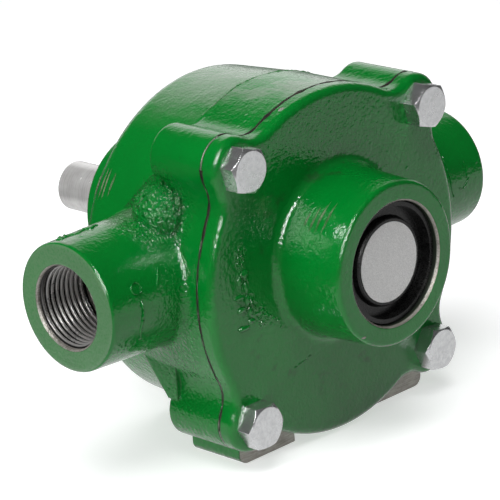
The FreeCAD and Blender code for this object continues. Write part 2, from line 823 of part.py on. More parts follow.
def makeRollers():
    for i in range(rollerCount):
        angle = 360 / rollerCount * i
        label = "roller_{}".format(i + 1)
        length = d.chamberDepth - d.rollerSideGap * 2
        lean = math.radians(angle)
        spun(label, [
            (0, 0),
            (d.rollerRadius - d.rollerChamfer, 0),
            (d.rollerRadius, d.rollerChamfer),
            (d.rollerRadius, length - d.rollerChamfer),
            (d.rollerRadius - d.rollerChamfer, length),
            (0, length),
        ], d.rollerCentre * math.cos(lean), jointY + d.rollerSideGap,
            d.shaftHeight + d.rollerCentre * math.sin(lean))


def raceOutline(low, high):
    """A square-cornered ring section with small chamfers on its four corners."""
    c = d.bearingChamfer
    return [
        (low + c, 0),
        (high - c, 0),
        (high, c),
        (high, d.bearingWidth - c),
        (high - c, d.bearingWidth),
        (low + c, d.bearingWidth),
        (low, d.bearingWidth - c),
        (low, c),
    ]


def makeRace(label, low, high, y):
    body = newBody(label)
    turn(body, "Revolution", label + "Ring", raceOutline(low, high))
    track = body.newObject("PartDesign::SubtractiveTorus", label + "Track")
    track.Placement.Rotation = FreeCAD.Rotation(FreeCAD.Vector(1, 0, 0), 90)
    bind(track, "Radius1", d.ballPitchRadius)
    bind(track, "Radius2", d.racewayRadius)
    bind(track, "Placement.Base.y", d.bearingWidth / 2)
    doc.recompute()
    place(body, 0, y, d.shaftHeight)
    return body


def ballSpot(i, spread):
    angle = 360 / ballCount * i
    reach = d.ballPitchRadius
    return reach * math.cos(math.radians(angle)), spread, reach * math.sin(math.radians(angle))


def makeBearing(side, y):
    """One sealed ball bearing of five pieces, its low face at y."""
    makeRace(side + "_bearing_outer_race", d.outerLandRadius, d.bearingOuterRadius, y)
    makeRace(side + "_bearing_inner_race", d.shaftRadius + d.slipGap, d.innerLandRadius, y)
    balls = []
    for i in range(ballCount):
        ball = doc.addObject("Part::Sphere", "{}Ball{}".format(side, i + 1))
        bind(ball, "Radius", d.ballRadius)
        x, along, z = ballSpot(i, y + d.bearingWidth / 2)
        place(ball, x, along, d.shaftHeight + z)
        balls.append(ball)
    group(side + "_bearing_balls", balls)

    cage = newBody(side + "_bearing_cage")
    turn(cage, "Revolution", side + "CageRing", [
        (d.cageInner, -(d.cageWidth / 2)),
        (d.cageOuter, -(d.cageWidth / 2)),
        (d.cageOuter, d.cageWidth / 2),
        (d.cageInner, d.cageWidth / 2),
    ])
    opening = newSketch(cage, side + "CagePocketSketch", "YZ_Plane")
    drawCircle(opening, 0, 0, d.cagePocketRadius)
    pocket = extrude(cage, "Pocket", side + "CagePocket", opening, d.cageOuter + 1)
    ring = cage.newObject("PartDesign::PolarPattern", side + "CagePockets")
    ring.Originals = [pocket]
    ring.Axis = (originPart(cage, "Y_Axis"), [""])
    ring.Angle = 360
    ring.Occurrences = ballCount
    cage.Tip = ring
    doc.recompute()
    place(cage, 0, y + d.bearingWidth / 2, d.shaftHeight)

    shields = []
    offsets = (d.shieldRecess, d.bearingWidth - d.shieldRecess - d.shieldThickness)
    for i, offset in enumerate(offsets):
        shields.append(spun("{}Shield{}".format(side, i + 1), [
            (d.shieldInner, 0),
            (d.shieldOuter, 0),
            (d.shieldOuter, d.shieldThickness),
            (d.shieldInner, d.shieldThickness),
        ], 0, y + offset, d.shaftHeight))
    group(side + "_bearing_seals", shields)


def makeLipSeal(side, y, turnBy):
    """A cased lip seal. Its closed face is at y, its lip points along the local Y axis."""
    wall = d.sealCaseWall
    spun(side + "_seal_case", [
        (d.sealCaseInner, 0),
        (d.sealCaseRadius, 0),
        (d.sealCaseRadius, d.sealWidth),
        (d.sealCaseRadius - wall, d.sealWidth),
        (d.sealCaseRadius - wall, wall),
        (d.sealCaseInner, wall),
    ], 0, y, d.shaftHeight, turnBy)
    start = wall + d.slipGap
    spun(side + "_seal_lip", [
        (d.lipRootRadius - 0.7, start),
        (d.sealCaseRadius - wall - d.slipGap, start),
        (d.sealCaseRadius - wall - d.slipGap, start + d.lipRootThickness),
        (d.lipRootRadius + 0.9, start + d.lipRootThickness),
        (d.lipNeckRadius - 0.1, d.lipTipDepth - 1.1),
        (d.lipNeckRadius, d.lipTipDepth + 0.6),
        (d.lipNeckRadius, d.lipTipDepth + 1.3),
        (d.lipTipRadius + 0.5, d.lipTipDepth + 1.3),
        (d.lipTipRadius, d.lipTipDepth),
        (d.lipTipRadius + 0.45, d.lipTipDepth - 1.2),
        (d.lipRootRadius - 0.7, start + d.lipRootThickness),
    ], 0, y, d.shaftHeight, turnBy)
    spring = doc.addObject("Part::Torus", side + "_seal_spring")
    spring.Label = side + "_seal_spring"
    bind(spring, "Radius1", d.springCentreRadius)
    bind(spring, "Radius2", d.springWireRadius)
    reach = d.lipTipDepth * (-1 if turnBy else 1)
    place(spring, 0, y + reach, d.shaftHeight, ((1, 0, 0), 90))


def makeCap():
    spun("bearing_cap", [
        (0, d.capBack),
        (d.capRadius - 0.5, d.capBack),
        (d.capRadius, d.capBack + 0.5),
        (d.capRadius, d.capRimEnd - 0.5),
        (d.capRadius - 0.5, d.capRimEnd),
        (d.capRimInner, d.capRimEnd),
        (d.capRimInner - 0.5, d.capFloor),
        (d.capDiscRadius + 0.5, d.capFloor),
        (d.capDiscRadius, d.labelFace - d.labelThickness - 0.4),
        (d.capDiscRadius - 0.4, d.labelFace - d.labelThickness),
        (0, d.labelFace - d.labelThickness),
    ], 0, jointY, d.shaftHeight, front)
    spun("cap_label", [
        (0, d.labelFace - d.labelThickness),
        (d.labelRadius, d.labelFace - d.labelThickness),
        (d.labelRadius, d.labelFace),
        (0, d.labelFace),
    ], 0, jointY, d.shaftHeight, front)


makeCasing()
makeCover()
makeBolts()
makeJointRing()
makeShaft()
makeRotor()
makeKey()
group("rotor_set_screws", [makeScrew("ScrewRight", -90), makeScrew("ScrewLeft", 90)])
makeRollers()
makeBearing("front", jointY - d.frontBearingSeat - d.bearingWidth)
makeBearing("rear", jointY + d.rearBearingSeat)
makeLipSeal("front", jointY - d.lipLand - d.sealGap - d.sealWidth, None)
makeLipSeal("rear", jointY + d.chamberDepth + d.lipLand + d.sealGap + d.sealWidth, front)
makeCap()
doc.recompute()

nodes = ["pump_body", "front_cover", "cover_bolts", "cover_o_ring", "bearing_cap", "cap_label",
         "drive_shaft", "rotor", "rotor_key", "rotor_set_screws"]
nodes += ["roller_{}".format(i + 1) for i in range(rollerCount)]
for side in ("front", "rear"):
    for piece in ("outer_race", "inner_race", "balls", "cage", "seals"):
        nodes.append("{}_bearing_{}".format(side, piece))
    for piece in ("case", "lip", "spring"):
        nodes.append("{}_seal_{}".format(side, piece))

for thing in doc.Objects:
    bad = [state for state in thing.State if state in ("Invalid", "Error")]
    if bad:
        raise RuntimeError("{} is {}".format(thing.Name, bad))

for node in nodes:
    thing = doc.getObjectsByLabel(node)[0]
    shape = thing.Shape
    if shape.isNull() or not shape.isValid() or not shape.Solids:
        raise RuntimeError("{} has no valid solid".format(node))
    shape.exportStep("parts/{}.step".format(node))
    print(node, len(shape.Solids), round(shape.Volume, 1))
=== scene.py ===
import bpy
import bmesh
import math
import random
from mathutils import Matrix, Vector, noise
from mathutils.bvhtree import BVHTree


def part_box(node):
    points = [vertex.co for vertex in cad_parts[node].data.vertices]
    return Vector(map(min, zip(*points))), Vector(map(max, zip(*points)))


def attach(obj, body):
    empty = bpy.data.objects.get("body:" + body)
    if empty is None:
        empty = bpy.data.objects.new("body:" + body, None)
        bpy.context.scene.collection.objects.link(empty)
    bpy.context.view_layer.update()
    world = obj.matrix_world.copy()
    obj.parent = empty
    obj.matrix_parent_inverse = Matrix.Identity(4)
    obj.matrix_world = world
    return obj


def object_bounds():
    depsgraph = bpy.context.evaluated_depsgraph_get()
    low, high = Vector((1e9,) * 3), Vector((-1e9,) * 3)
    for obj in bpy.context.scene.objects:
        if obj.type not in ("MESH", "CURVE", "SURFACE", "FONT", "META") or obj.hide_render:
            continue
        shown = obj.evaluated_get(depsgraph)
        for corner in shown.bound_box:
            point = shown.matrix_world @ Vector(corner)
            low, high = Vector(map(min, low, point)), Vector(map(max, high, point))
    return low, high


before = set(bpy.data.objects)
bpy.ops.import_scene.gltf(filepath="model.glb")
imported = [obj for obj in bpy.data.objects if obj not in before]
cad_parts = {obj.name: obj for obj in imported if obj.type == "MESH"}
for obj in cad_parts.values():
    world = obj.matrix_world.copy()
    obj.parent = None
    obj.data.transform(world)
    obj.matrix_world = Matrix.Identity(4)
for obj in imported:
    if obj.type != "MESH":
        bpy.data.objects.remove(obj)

# Looks of a foot-mounted roller pump: green enamel over cast iron, zinc bolts, ground shaft.
# Metres. X across the ports, Y to the rear along the shaft, Z up, feet on the floor.

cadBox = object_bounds()
scene = bpy.context.scene
print("frame loaded:", len(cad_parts), "nodes")

# places that the CAD gives
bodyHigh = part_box("pump_body")[1]
coverLow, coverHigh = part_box("front_cover")
shaftLow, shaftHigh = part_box("drive_shaft")
jointY = coverHigh.y  # the face where cover and casing meet
axisZ = (shaftLow.z + shaftHigh.z) / 2
flangeZ = (coverLow.z + coverHigh.z) / 2
portReach = bodyHigh.x
crownZ = cadBox[1][2]

# sizes of the castings, in metres
castRadius = 0.0532  # round flange of casing and cover
drumY = jointY + 0.0215  # the flange ends and the drum begins
coverFaceY = jointY - 0.0057
hubFaceY = jointY - 0.0292
portY = jointY + 0.0248
portZ = axisZ - 0.0004

# small helpers


def pieceFrom(name, build, material, body="housing"):
    # build fills a bmesh, the piece then rides on one CAD body
    mesh = bpy.data.meshes.new(name)
    bm = bmesh.new()
    build(bm)
    bmesh.ops.recalc_face_normals(bm, faces=bm.faces)
    bm.to_mesh(mesh)
    bm.free()
    for face in mesh.polygons:
        face.use_smooth = True
    piece = bpy.data.objects.new(name, mesh)
    scene.collection.objects.link(piece)
    mesh.materials.append(material)
    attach(piece, body)
    return piece


def sweepSections(bm, sections, closed=False):
    # joins rings of points that all have the same count, with a cap on each open end
    rings = [[bm.verts.new(p) for p in section] for section in sections]
    count = len(rings[0])
    last = len(rings) if closed else len(rings) - 1
    for i in range(last):
        low, high = rings[i], rings[(i + 1) % len(rings)]
        for j in range(count):
            k = (j + 1) % count
            bm.faces.new((low[j], low[k], high[k], high[j]))
    if not closed:
        bm.faces.new(rings[0][::-1])
        bm.faces.new(rings[-1])


# shader helpers


def newGroup(name, inputs, outputs):
    group = bpy.data.node_groups.new(name, "ShaderNodeTree")
    kinds = {"value": "NodeSocketFloat", "colour": "NodeSocketColor", "vector": "NodeSocketVector"}
    for label, kind, default in inputs:
        made = group.interface.new_socket(label, in_out="INPUT", socket_type=kinds[kind])
        if default is not None:
            made.default_value = default
    for label, kind in outputs:
        group.interface.new_socket(label, in_out="OUTPUT", socket_type=kinds[kind])
    enter = group.nodes.new("NodeGroupInput")
    leave = group.nodes.new("NodeGroupOutput")
    return group, enter.outputs, leave


class Nodes:
    # a short way to add linked nodes to one tree
    def __init__(self, tree):
        self.tree = tree

    def add(self, kind, settings=None, **links):
        node = self.tree.nodes.new(kind)
        for key, value in (settings or {}).items():
            setattr(node, key, value)
        for label, value in links.items():
            self.put(node, label.replace("_", " "), value)
        return node

    def put(self, node, label, value):
        socket = node.inputs[int(label)] if label.isdigit() else node.inputs[label]
        if isinstance(value, bpy.types.NodeSocket):
            self.tree.links.new(value, socket)
        else:
            socket.default_value = value

    def maths(self, operation, *values, clamp=False):
        node = self.tree.nodes.new("ShaderNodeMath")
        node.operation = operation
        node.use_clamp = clamp
        for i, value in enumerate(values):
            self.put(node, str(i), value)
        return node.outputs[0]

    def most(self, *values):
        total = values[0]
        for value in values[1:]:
            total = self.maths("MAXIMUM", total, value)
        return total

    def times(self, *values):
        total = values[0]
        for value in values[1:]:
            total = self.maths("MULTIPLY", total, value)
        return total

    def vectors(self, operation, a, b=None):
        node = self.tree.nodes.new("ShaderNodeVectorMath")
        node.operation = operation
        self.put(node, "0", a)
        if b is not None:
            self.put(node, "1", b)
        single = operation in ("LENGTH", "DISTANCE", "DOT_PRODUCT")
        return node.outputs["Value"] if single else node.outputs[0]

    def axis(self, vector, name):
        return self.add("ShaderNodeSeparateXYZ", Vector=vector).outputs[name]

    def noise(self, vector, scale, detail=2.0, rough=0.5, twist=0.0):
        node = self.add("ShaderNodeTexNoise", Vector=vector, Scale=scale, Detail=detail)
        self.put(node, "Roughness", rough)
        self.put(node, "Distortion", twist)
        return node.outputs["Fac"]

    def cells(self, vector, scale):
        node = self.add("ShaderNodeTexVoronoi", Vector=vector, Scale=scale)
        return node.outputs["Distance"]

    def span(self, value, low, high, toLow=0.0, toHigh=1.0):
        # a smooth, clamped change of range
        node = self.add("ShaderNodeMapRange", {"interpolation_type": "SMOOTHSTEP"}, Value=value)
        for label, item in (("From Min", low), ("From Max", high), ("To Min", toLow), ("To Max", toHigh)):
            self.put(node, label, item)
        return node.outputs[0]

    def mix(self, factor, a, b):
        node = self.tree.nodes.new("ShaderNodeMix")
        node.data_type = "RGBA"
        for label, value in (("0", factor), ("6", a), ("7", b)):
            self.put(node, label, value)
        return node.outputs[2]

    def group(self, tree, **links):
        return self.add("ShaderNodeGroup", {"node_tree": tree}, **links)


def newMaterial(name, look):
    # a Principled material with its constant sockets set from one dictionary
    material = bpy.data.materials.new(name)
    material.use_nodes = True
    shader = material.node_tree.nodes["Principled BSDF"]
    for label, value in look.items():
        shader.inputs[label].default_value = value
    kit = Nodes(material.node_tree)
    spot = kit.add("ShaderNodeTexCoord").outputs["Object"]
    return material, kit, shader, spot


def dressNode(node, material):
    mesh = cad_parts[node].data
    mesh.materials.clear()
    mesh.materials.append(material)


def grey(value, warm=0.0):
    return (value * (1 + warm), value, value * (1 - warm), 1)


# shared effects


skinScales = {
    # noise scales: the higher, the finer
    "grit": 1500,
    "peel": 780,
    "swell": 170,
    "lump": 420,
    "pit": 230,
    "gather": 60,  # where lumps and pits come together
}


def makeCastSkin():
    # sand-cast skin under thick paint: orange peel, soft swells, small lumps and pits
    group, enter, leave = newGroup("castSkin", [
        ("Vector", "vector", None), ("Peel", "value", 1.0), ("Swell", "value", 1.0),
        ("Lumps", "value", 1.0), ("Pits", "value", 1.0)], [("Height", "value"), ("Pit", "value")])
    kit = Nodes(group)
    look = skinScales
    v = enter["Vector"]
    peel = kit.maths("MULTIPLY_ADD", kit.noise(v, look["grit"], 1), 0.50, kit.noise(v, look["peel"], 1))
    peel = kit.times(peel, enter["Peel"])
    swell = kit.times(kit.noise(v, look["swell"], 3, 0.5, 0.3), enter["Swell"])
    where = kit.noise(v, look["gather"], 2)
    lump = kit.span(kit.cells(v, look["lump"]), 0.0, 0.42, 1.0, 0.0)
    lump = kit.times(lump, kit.span(where, 0.54, 0.66), enter["Lumps"])
    pit = kit.span(kit.cells(v, look["pit"]), 0.04, 0.16, 1.0, 0.0)
    pit = kit.times(pit, kit.span(where, 0.42, 0.34), enter["Pits"])
    height = kit.maths("ADD", kit.maths("ADD", peel, swell), kit.maths("SUBTRACT", lump, pit))
    kit.put(leave, "Height", height)
    kit.put(leave, "Pit", pit)
    return group


def makeRoundRegion():
    # 1 inside a round region about a centre, 0 outside; Across leaves out or stretches an axis
    group, enter, leave = newGroup("roundRegion", [
        ("Vector", "vector", None), ("Centre", "vector", None), ("Across", "vector", (1, 0, 1)),
        ("Radius", "value", 0.01), ("Soft", "value", 0.0002)], [("Inside", "value"), ("Distance", "value")])
    kit = Nodes(group)
    off = kit.vectors("MULTIPLY", kit.vectors("SUBTRACT", enter["Vector"], enter["Centre"]), enter["Across"])
    far = kit.vectors("LENGTH", off)
    edge = kit.maths("ADD", enter["Radius"], enter["Soft"])
    kit.put(leave, "Inside", kit.span(far, enter["Radius"], edge, 1.0, 0.0))
    kit.put(leave, "Distance", far)
    return group


ironLook = {
    "light": (0.42, 0.40, 0.365, 1),
    "dark": (0.20, 0.185, 0.16, 1),
    "rough": (0.3, 0.5),
}


def makeBareIron():
    # machined or broken-through cast iron: tool lines, grey mottling, a breath of rust
    group, enter, leave = newGroup("bareIron", [
        ("Vector", "vector", None), ("Light", "colour", ironLook["light"]),
        ("Dark", "colour", ironLook["dark"]), ("Lines", "value", 1.0)],
        [("Colour", "colour"), ("Roughness", "value"), ("Height", "value")])
    kit = Nodes(group)
    v = enter["Vector"]
    blotch = kit.noise(v, 220, 5, 0.65)
    speck = kit.noise(v, 2600, 2, 0.6)
    line = kit.noise(kit.vectors("MULTIPLY", v, (160, 2400, 2400)), 1.0, 2, 0.5)
    tone = kit.maths("MULTIPLY_ADD", speck, 0.35, kit.times(blotch, 0.9))
    tone = kit.maths("MULTIPLY_ADD", kit.maths("SUBTRACT", line, 0.5), enter["Lines"], tone)
    kit.put(leave, "Colour", kit.mix(kit.span(tone, 0.3, 0.9), enter["Dark"], enter["Light"]))
    kit.put(leave, "Roughness", kit.span(blotch, 0.3, 0.7, *ironLook["rough"]))
    height = kit.maths("MULTIPLY_ADD", line, enter["Lines"], kit.times(speck, 0.4))
    kit.put(leave, "Height", height)
    return group


def makeMetalGrain():
    # turned or ground metal: fine lines across the stretched axis and slow tone changes
    group, enter, leave = newGroup("metalGrain", [
        ("Vector", "vector", None), ("Stretch", "vector", (30, 2500, 30)), ("Blotch Scale", "value", 140.0)],
        [("Tone", "value"), ("Height", "value"), ("Blotch", "value")])
    kit = Nodes(group)
    v = enter["Vector"]
    fine = kit.noise(kit.vectors("MULTIPLY", v, enter["Stretch"]), 1.0, 3, 0.6)
    blotch = kit.noise(v, enter["Blotch Scale"], 4, 0.6)
    kit.put(leave, "Tone", kit.maths("MULTIPLY_ADD", fine, 0.5, kit.times(blotch, 0.5)))
    kit.put(leave, "Height", fine)
    kit.put(leave, "Blotch", blotch)
    return group


castSkin = makeCastSkin()
roundRegion = makeRoundRegion()
bareIron = makeBareIron()
metalGrain = makeMetalGrain()
print("shared effects ready")

# enamel

enamelLook = {
    "green": (0.0, 0.180, 0.019, 1),
    "deepGreen": (0.0, 0.160, 0.017, 1),
    "pitShadeGreen": (0.0, 0.075, 0.012, 1),
    "grimeAndShade": (0.014, 0.022, 0.012, 1),
    "sheen": (0.20, 0.25, 0.19, 1),  # pale dust and overspray, also used as painted sheen
    "rough": 0.09,
    "grimeRough": 0.3,
    "bareMetallic": 0.45,
    "bump": 1.0,
    "bumpDepth": 0.0005,
    "edgeRound": 0.0010,
    # the skin on plain paint, and what a coarse place adds to it
    "skin": {"Peel": (0.25, 2.0), "Swell": (0.42, 1.2), "Lumps": (0.14, 0.5), "Pits": (0.10, 0.3)},
}


def makeEnamel(name, bare, rough, grimeAndShade, dustAndSheen, edgeRound=None):
    material, kit, shader, spot = newMaterial(name, {"Specular IOR Level": 0.5})
    look = enamelLook
    bareMask = bare(kit, spot)
    roughMask = rough(kit, spot)
    grimeShadeMask = grimeAndShade(kit, spot)
    painted = kit.maths("SUBTRACT", 1.0, bareMask)
    skin = kit.group(castSkin, Vector=spot)
    for label, (plain, coarse) in look["skin"].items():
        kit.put(skin, label, kit.maths("MULTIPLY_ADD", roughMask, coarse, plain))
    iron = kit.group(bareIron, Vector=spot)
    green = kit.mix(kit.span(kit.noise(spot, 30, 3, 0.55), 0.35, 0.65), look["deepGreen"], look["green"])
    # painted shade: the pits take a darker green
    green = kit.mix(kit.maths("MULTIPLY", skin.outputs["Pit"], 0.8, clamp=True), green, look["pitShadeGreen"])
    # pale dust and painted sheen mixed into the green
    green = kit.mix(dustAndSheen(kit, spot), green, look["sheen"])
    # dirt, and painted shade on the wall of the cap's seat, darken the green
    green = kit.mix(grimeShadeMask, green, look["grimeAndShade"])
    kit.put(shader, "Base Color", kit.mix(bareMask, green, iron.outputs["Colour"]))
    gloss = kit.maths("MULTIPLY_ADD", kit.noise(spot, 260, 3, 0.6), 0.08, look["rough"])
    gloss = kit.maths("MULTIPLY_ADD", grimeShadeMask, look["grimeRough"], gloss)
    gloss = kit.maths("ADD", kit.times(iron.outputs["Roughness"], bareMask), kit.times(gloss, painted))
    kit.put(shader, "Roughness", gloss)
    kit.put(shader, "Metallic", kit.times(bareMask, look["bareMetallic"]))
    edge = kit.add("ShaderNodeBevel", {"samples": 4}, Radius=edgeRound or look["edgeRound"])
    bump = kit.add("ShaderNodeBump", Strength=look["bump"], Distance=look["bumpDepth"])
    cut = kit.times(iron.outputs["Height"], bareMask, 0.25)
    kit.put(bump, "Height", kit.maths("ADD", kit.times(skin.outputs["Height"], painted), cut))
    kit.put(bump, "Normal", edge.outputs[0])
    kit.put(shader, "Normal", bump.outputs[0])
    return material


def below(kit, spot, axis, limit, soft):
    # 1 under the limit along an axis, 0 over limit + soft
    return kit.span(kit.axis(spot, axis), limit, limit + soft, 1.0, 0.0)


def about(kit, spot, centre, across, radius, soft):
    node = kit.group(roundRegion, Vector=spot, Centre=centre, Across=across, Radius=radius, Soft=soft)
    return node.outputs["Inside"]


casingPlaces = {
    # radius and soft edge of the bare rounds
    "port": (0.0129, 0.0002),
    "chamber": (0.0441, 0.0004),
    "rearBore": (0.0182, 0.0003),
    # start and end of a change, counted behind the joint face
    "jointBare": (0.0003, 0.0005),
    "jointDirt": (0.0003, 0.0009),
    "chamberEnd": (0.0449, 0.0455),
    # limit and softness, counted up from the floor
    "sole": (0.0002, 0.0004),
    "under": (0.020, 0.022),
}
coarsePlaces = [
    # lugs over the ports, then the roots of the necks, each on both sides
    {"at": (0.051, 0.0086, 0.079), "across": (1, 1, 1), "radius": 0.009, "soft": 0.007, "share": 1.0},
    {"at": (0.050, 0.004, 0.052), "across": (0.7, 1, 0.6), "radius": 0.006, "soft": 0.010, "share": 0.4},
]
dustSheenLook = {
    # how strongly the pale bloom covers the green: dust, and painted sheen on the port faces
    "drum": 0.55,
    "crest": 0.6,
    "portFace": 0.45,
    "cover": 0.02,
}


def casingBare(kit, spot):
    # joint face and feet, port threads, chamber, rear bore
    look = casingPlaces
    wander = kit.times(kit.noise(spot, 300, 2), 0.0004)
    far = kit.axis(spot, "Y")
    start, end = [jointY + back for back in look["jointBare"]]
    face = kit.span(kit.maths("ADD", far, wander), start, end, 1.0, 0.0)
    sole = below(kit, spot, "Z", *look["sole"])
    ports = about(kit, spot, (0, portY, portZ), (0, 1, 1), *look["port"])
    chamber = about(kit, spot, (0, 0, flangeZ), (1, 0, 1), *look["chamber"])
    start, end = [jointY + back for back in look["chamberEnd"]]
    chamber = kit.times(chamber, kit.span(far, start, end, 1.0, 0.0))
    rear = about(kit, spot, (0, 0, axisZ), (1, 0, 1), *look["rearBore"])
    return kit.most(face, sole, ports, chamber, rear)


def casingRough(kit, spot):
    # coarse sand skin on the lugs, at the roots of the necks and low on the casing
    masks = []
    for look in coarsePlaces:
        x, y, z = look["at"]
        for side in (-1, 1):
            inside = about(kit, spot, (side * x, y, z), look["across"], look["radius"], look["soft"])
            masks.append(kit.times(inside, look["share"]))
    under = kit.times(below(kit, spot, "Z", *casingPlaces["under"]), 0.12)
    return kit.most(*masks, under)


def casingGrime(kit, spot):
    # dirt caught along the cover joint
    start, end = [jointY + back for back in casingPlaces["jointDirt"]]
    line = kit.span(kit.axis(spot, "Y"), start, end, 0.7, 0.0)
    return kit.times(line, kit.span(kit.noise(spot, 240, 3), 0.35, 0.6))


def casingDust(kit, spot):
    # a pale bloom: dust where the drum and necks face up and on the flange's crest, and painted sheen on the
    # port faces
    look = dustSheenLook
    up = kit.axis(kit.add("ShaderNodeNewGeometry").outputs["Normal"], "Z")
    rear = kit.span(kit.axis(spot, "Y"), drumY, drumY + 0.002)
    streak = kit.noise(kit.vectors("MULTIPLY", spot, (150, 60, 150)), 1.0, 3, 0.6)
    grain = kit.noise(spot, 1400, 2, 0.6)
    drum = kit.times(kit.span(up, 0.78, 1.0), rear, kit.span(streak, 0.25, 0.6), look["drum"])
    crest = kit.span(kit.axis(spot, "Z"), flangeZ + castRadius * 0.90, flangeZ + castRadius)
    crest = kit.times(crest, kit.span(streak, 0.42, 0.60), look["crest"])
    out = kit.maths("ABSOLUTE", kit.axis(spot, "X"))
    # painted sheen on the port faces, standing in for the pale floor they reflect
    faces = kit.times(kit.span(out, portReach - 0.0004, portReach - 0.0002), look["portFace"])
    return kit.times(kit.most(drum, crest, faces), kit.span(grain, 0.2, 0.6, 0.6, 1.0))


coverPlaces = {
    "capSeat": (0.01915, 0.00015),  # radius and soft edge
    "seatLip": (0.0007, 0.0003),  # bare depth behind the hub's face, and softness
    "jointBare": (0.0003, 0.0001),  # start and end in front of the joint face
    "jointDirt": (0.0009, 0.0003),
    # knocks that show the iron: centre, stretch, radius and soft edge
    "chips": (((-0.01665, -0.01223, 0.10406), (0.5, 1, 1.6), 0.0004, 0.0005),
              ((-0.01552, -0.03914, 0.03891), (0.6, 1, 1.4), 0.0003, 0.0004)),
    # coarse marks on the face: x, height over the shaft, reach
    "sandMarks": ((-0.0405, 0.009, 0.0026), (-0.0399, 0.0021, 0.0026), (-0.0378, -0.0062, 0.0030),
                  (-0.0333, -0.0113, 0.0026)),
}


def coverBare(kit, spot):
    # lip of the bearing cap's seat, the joint face and two chips
    look = coverPlaces
    seat = about(kit, spot, (0, 0, axisZ), (1, 0, 1), *look["capSeat"])
    start, end = [jointY - front for front in look["jointBare"]]
    face = kit.span(kit.axis(spot, "Y"), start, end)
    depth, soft = look["seatLip"]
    lip = below(kit, spot, "Y", hubFaceY + depth, soft)
    chips = [about(kit, spot, *chip) for chip in look["chips"]]
    return kit.most(kit.times(seat, lip), face, *chips)


def coverRough(kit, spot):
    # sand marks low on the cover's left side
    marks = []
    for x, z, reach in coverPlaces["sandMarks"]:
        marks.append(about(kit, spot, (x, coverFaceY, axisZ + z), (1.2, 1, 0.75), reach * 0.4, reach))
    broken = kit.span(kit.noise(spot, 700, 2, 0.6), 0.40, 0.60)
    return kit.times(kit.most(*marks), broken, 0.35)


def noRough(kit, spot):
    return 0.0


def coverGrime(kit, spot):
    # a darker, broken ring round the foot of the hub, dirt along the joint, and painted shade on the wall of
    # the cap's seat
    look = coverPlaces
    ring = kit.group(roundRegion, Vector=spot, Centre=(-0.004, 0, axisZ - 0.006), Across=(1, 0, 1))
    far = ring.outputs["Distance"]
    band = kit.times(kit.span(far, 0.029, 0.032), kit.span(far, 0.034, 0.040, 1.0, 0.0))
    band = kit.times(band, kit.span(kit.noise(spot, 130, 4, 0.6), 0.52, 0.68), 0.45)
    start, end = [jointY - front for front in look["jointDirt"]]
    line = kit.span(kit.axis(spot, "Y"), start, end)
    line = kit.times(line, kit.span(kit.noise(spot, 240, 3), 0.35, 0.6), 0.7)
    # painted shade on the wall of the cap's seat, deeper than its bare lip
    seat = about(kit, spot, (0, 0, axisZ), (1, 0, 1), *look["capSeat"])
    start, soft = hubFaceY + look["seatLip"][0], look["seatLip"][1]
    wall = kit.times(seat, kit.span(kit.axis(spot, "Y"), start, start + soft))
    return kit.most(band, line, wall)


def coverDust(kit, spot):
    # a faint grey bloom over the flat of the cover
    cloud = kit.noise(spot, 45, 3)
    grain = kit.noise(spot, 1800, 2, 0.6)
    return kit.times(kit.span(cloud, 0.35, 0.75), kit.span(grain, 0.35, 0.75), dustSheenLook["cover"])


casingEnamel = makeEnamel("casingEnamel", casingBare, casingRough, casingGrime, casingDust)
coverEnamel = makeEnamel("coverEnamel", coverBare, coverRough, coverGrime, coverDust)
print("enamel ready")

# metals

metalLooks = {
    "zinc": {"low": grey(0.56, -0.01), "high": grey(0.70, -0.01), "rough": (0.20, 0.29),
             "stretch": (700, 700, 700), "bump": 0.12, "metallic": 0.9},
    "shaftSteel": {"low": grey(0.48, 0.02), "high": grey(0.74, 0.01), "rough": (0.20, 0.28),
                   "stretch": (24, 3800, 24), "bump": 0.08, "metallic": 0.45},
    "bearingSteel": {"low": grey(0.40), "high": grey(0.70), "rough": (0.12, 0.22),
                     "stretch": (60, 3000, 60), "bump": 0.08},
    "threadIron": {"low": grey(0.02, 0.02), "high": grey(0.60, 0.02), "rough": (0.26, 0.36),
                   "stretch": (900, 60, 60), "bump": 0.04, "metallic": 0.6,
                   "valleyShade": (0.01180, 0.01218)},  # radii where painted shade darkens the thread valleys
    "rotorIron": {"low": grey(0.16, 0.04), "high": grey(0.40, 0.03), "rough": (0.3, 0.5),
                  "stretch": (80, 2200, 80), "bump": 0.2},
    "keySteel": {"low": grey(0.28, 0.03), "high": grey(0.52, 0.02), "rough": (0.25, 0.4),
                 "stretch": (2200, 60, 2200), "bump": 0.15},
    "cageSteel": {"low": grey(0.35), "high": grey(0.62), "rough": (0.2, 0.35),
                  "stretch": (70, 1500, 70), "bump": 0.1},
    "sealShell": {"low": (0.045, 0.05, 0.055, 1), "high": (0.12, 0.125, 0.13, 1), "rough": (0.3, 0.5),
                  "stretch": (60, 900, 60), "bump": 0.1},
}
metalFinish = {"edgeRound": 0.0003, "bumpDepth": 0.00006}


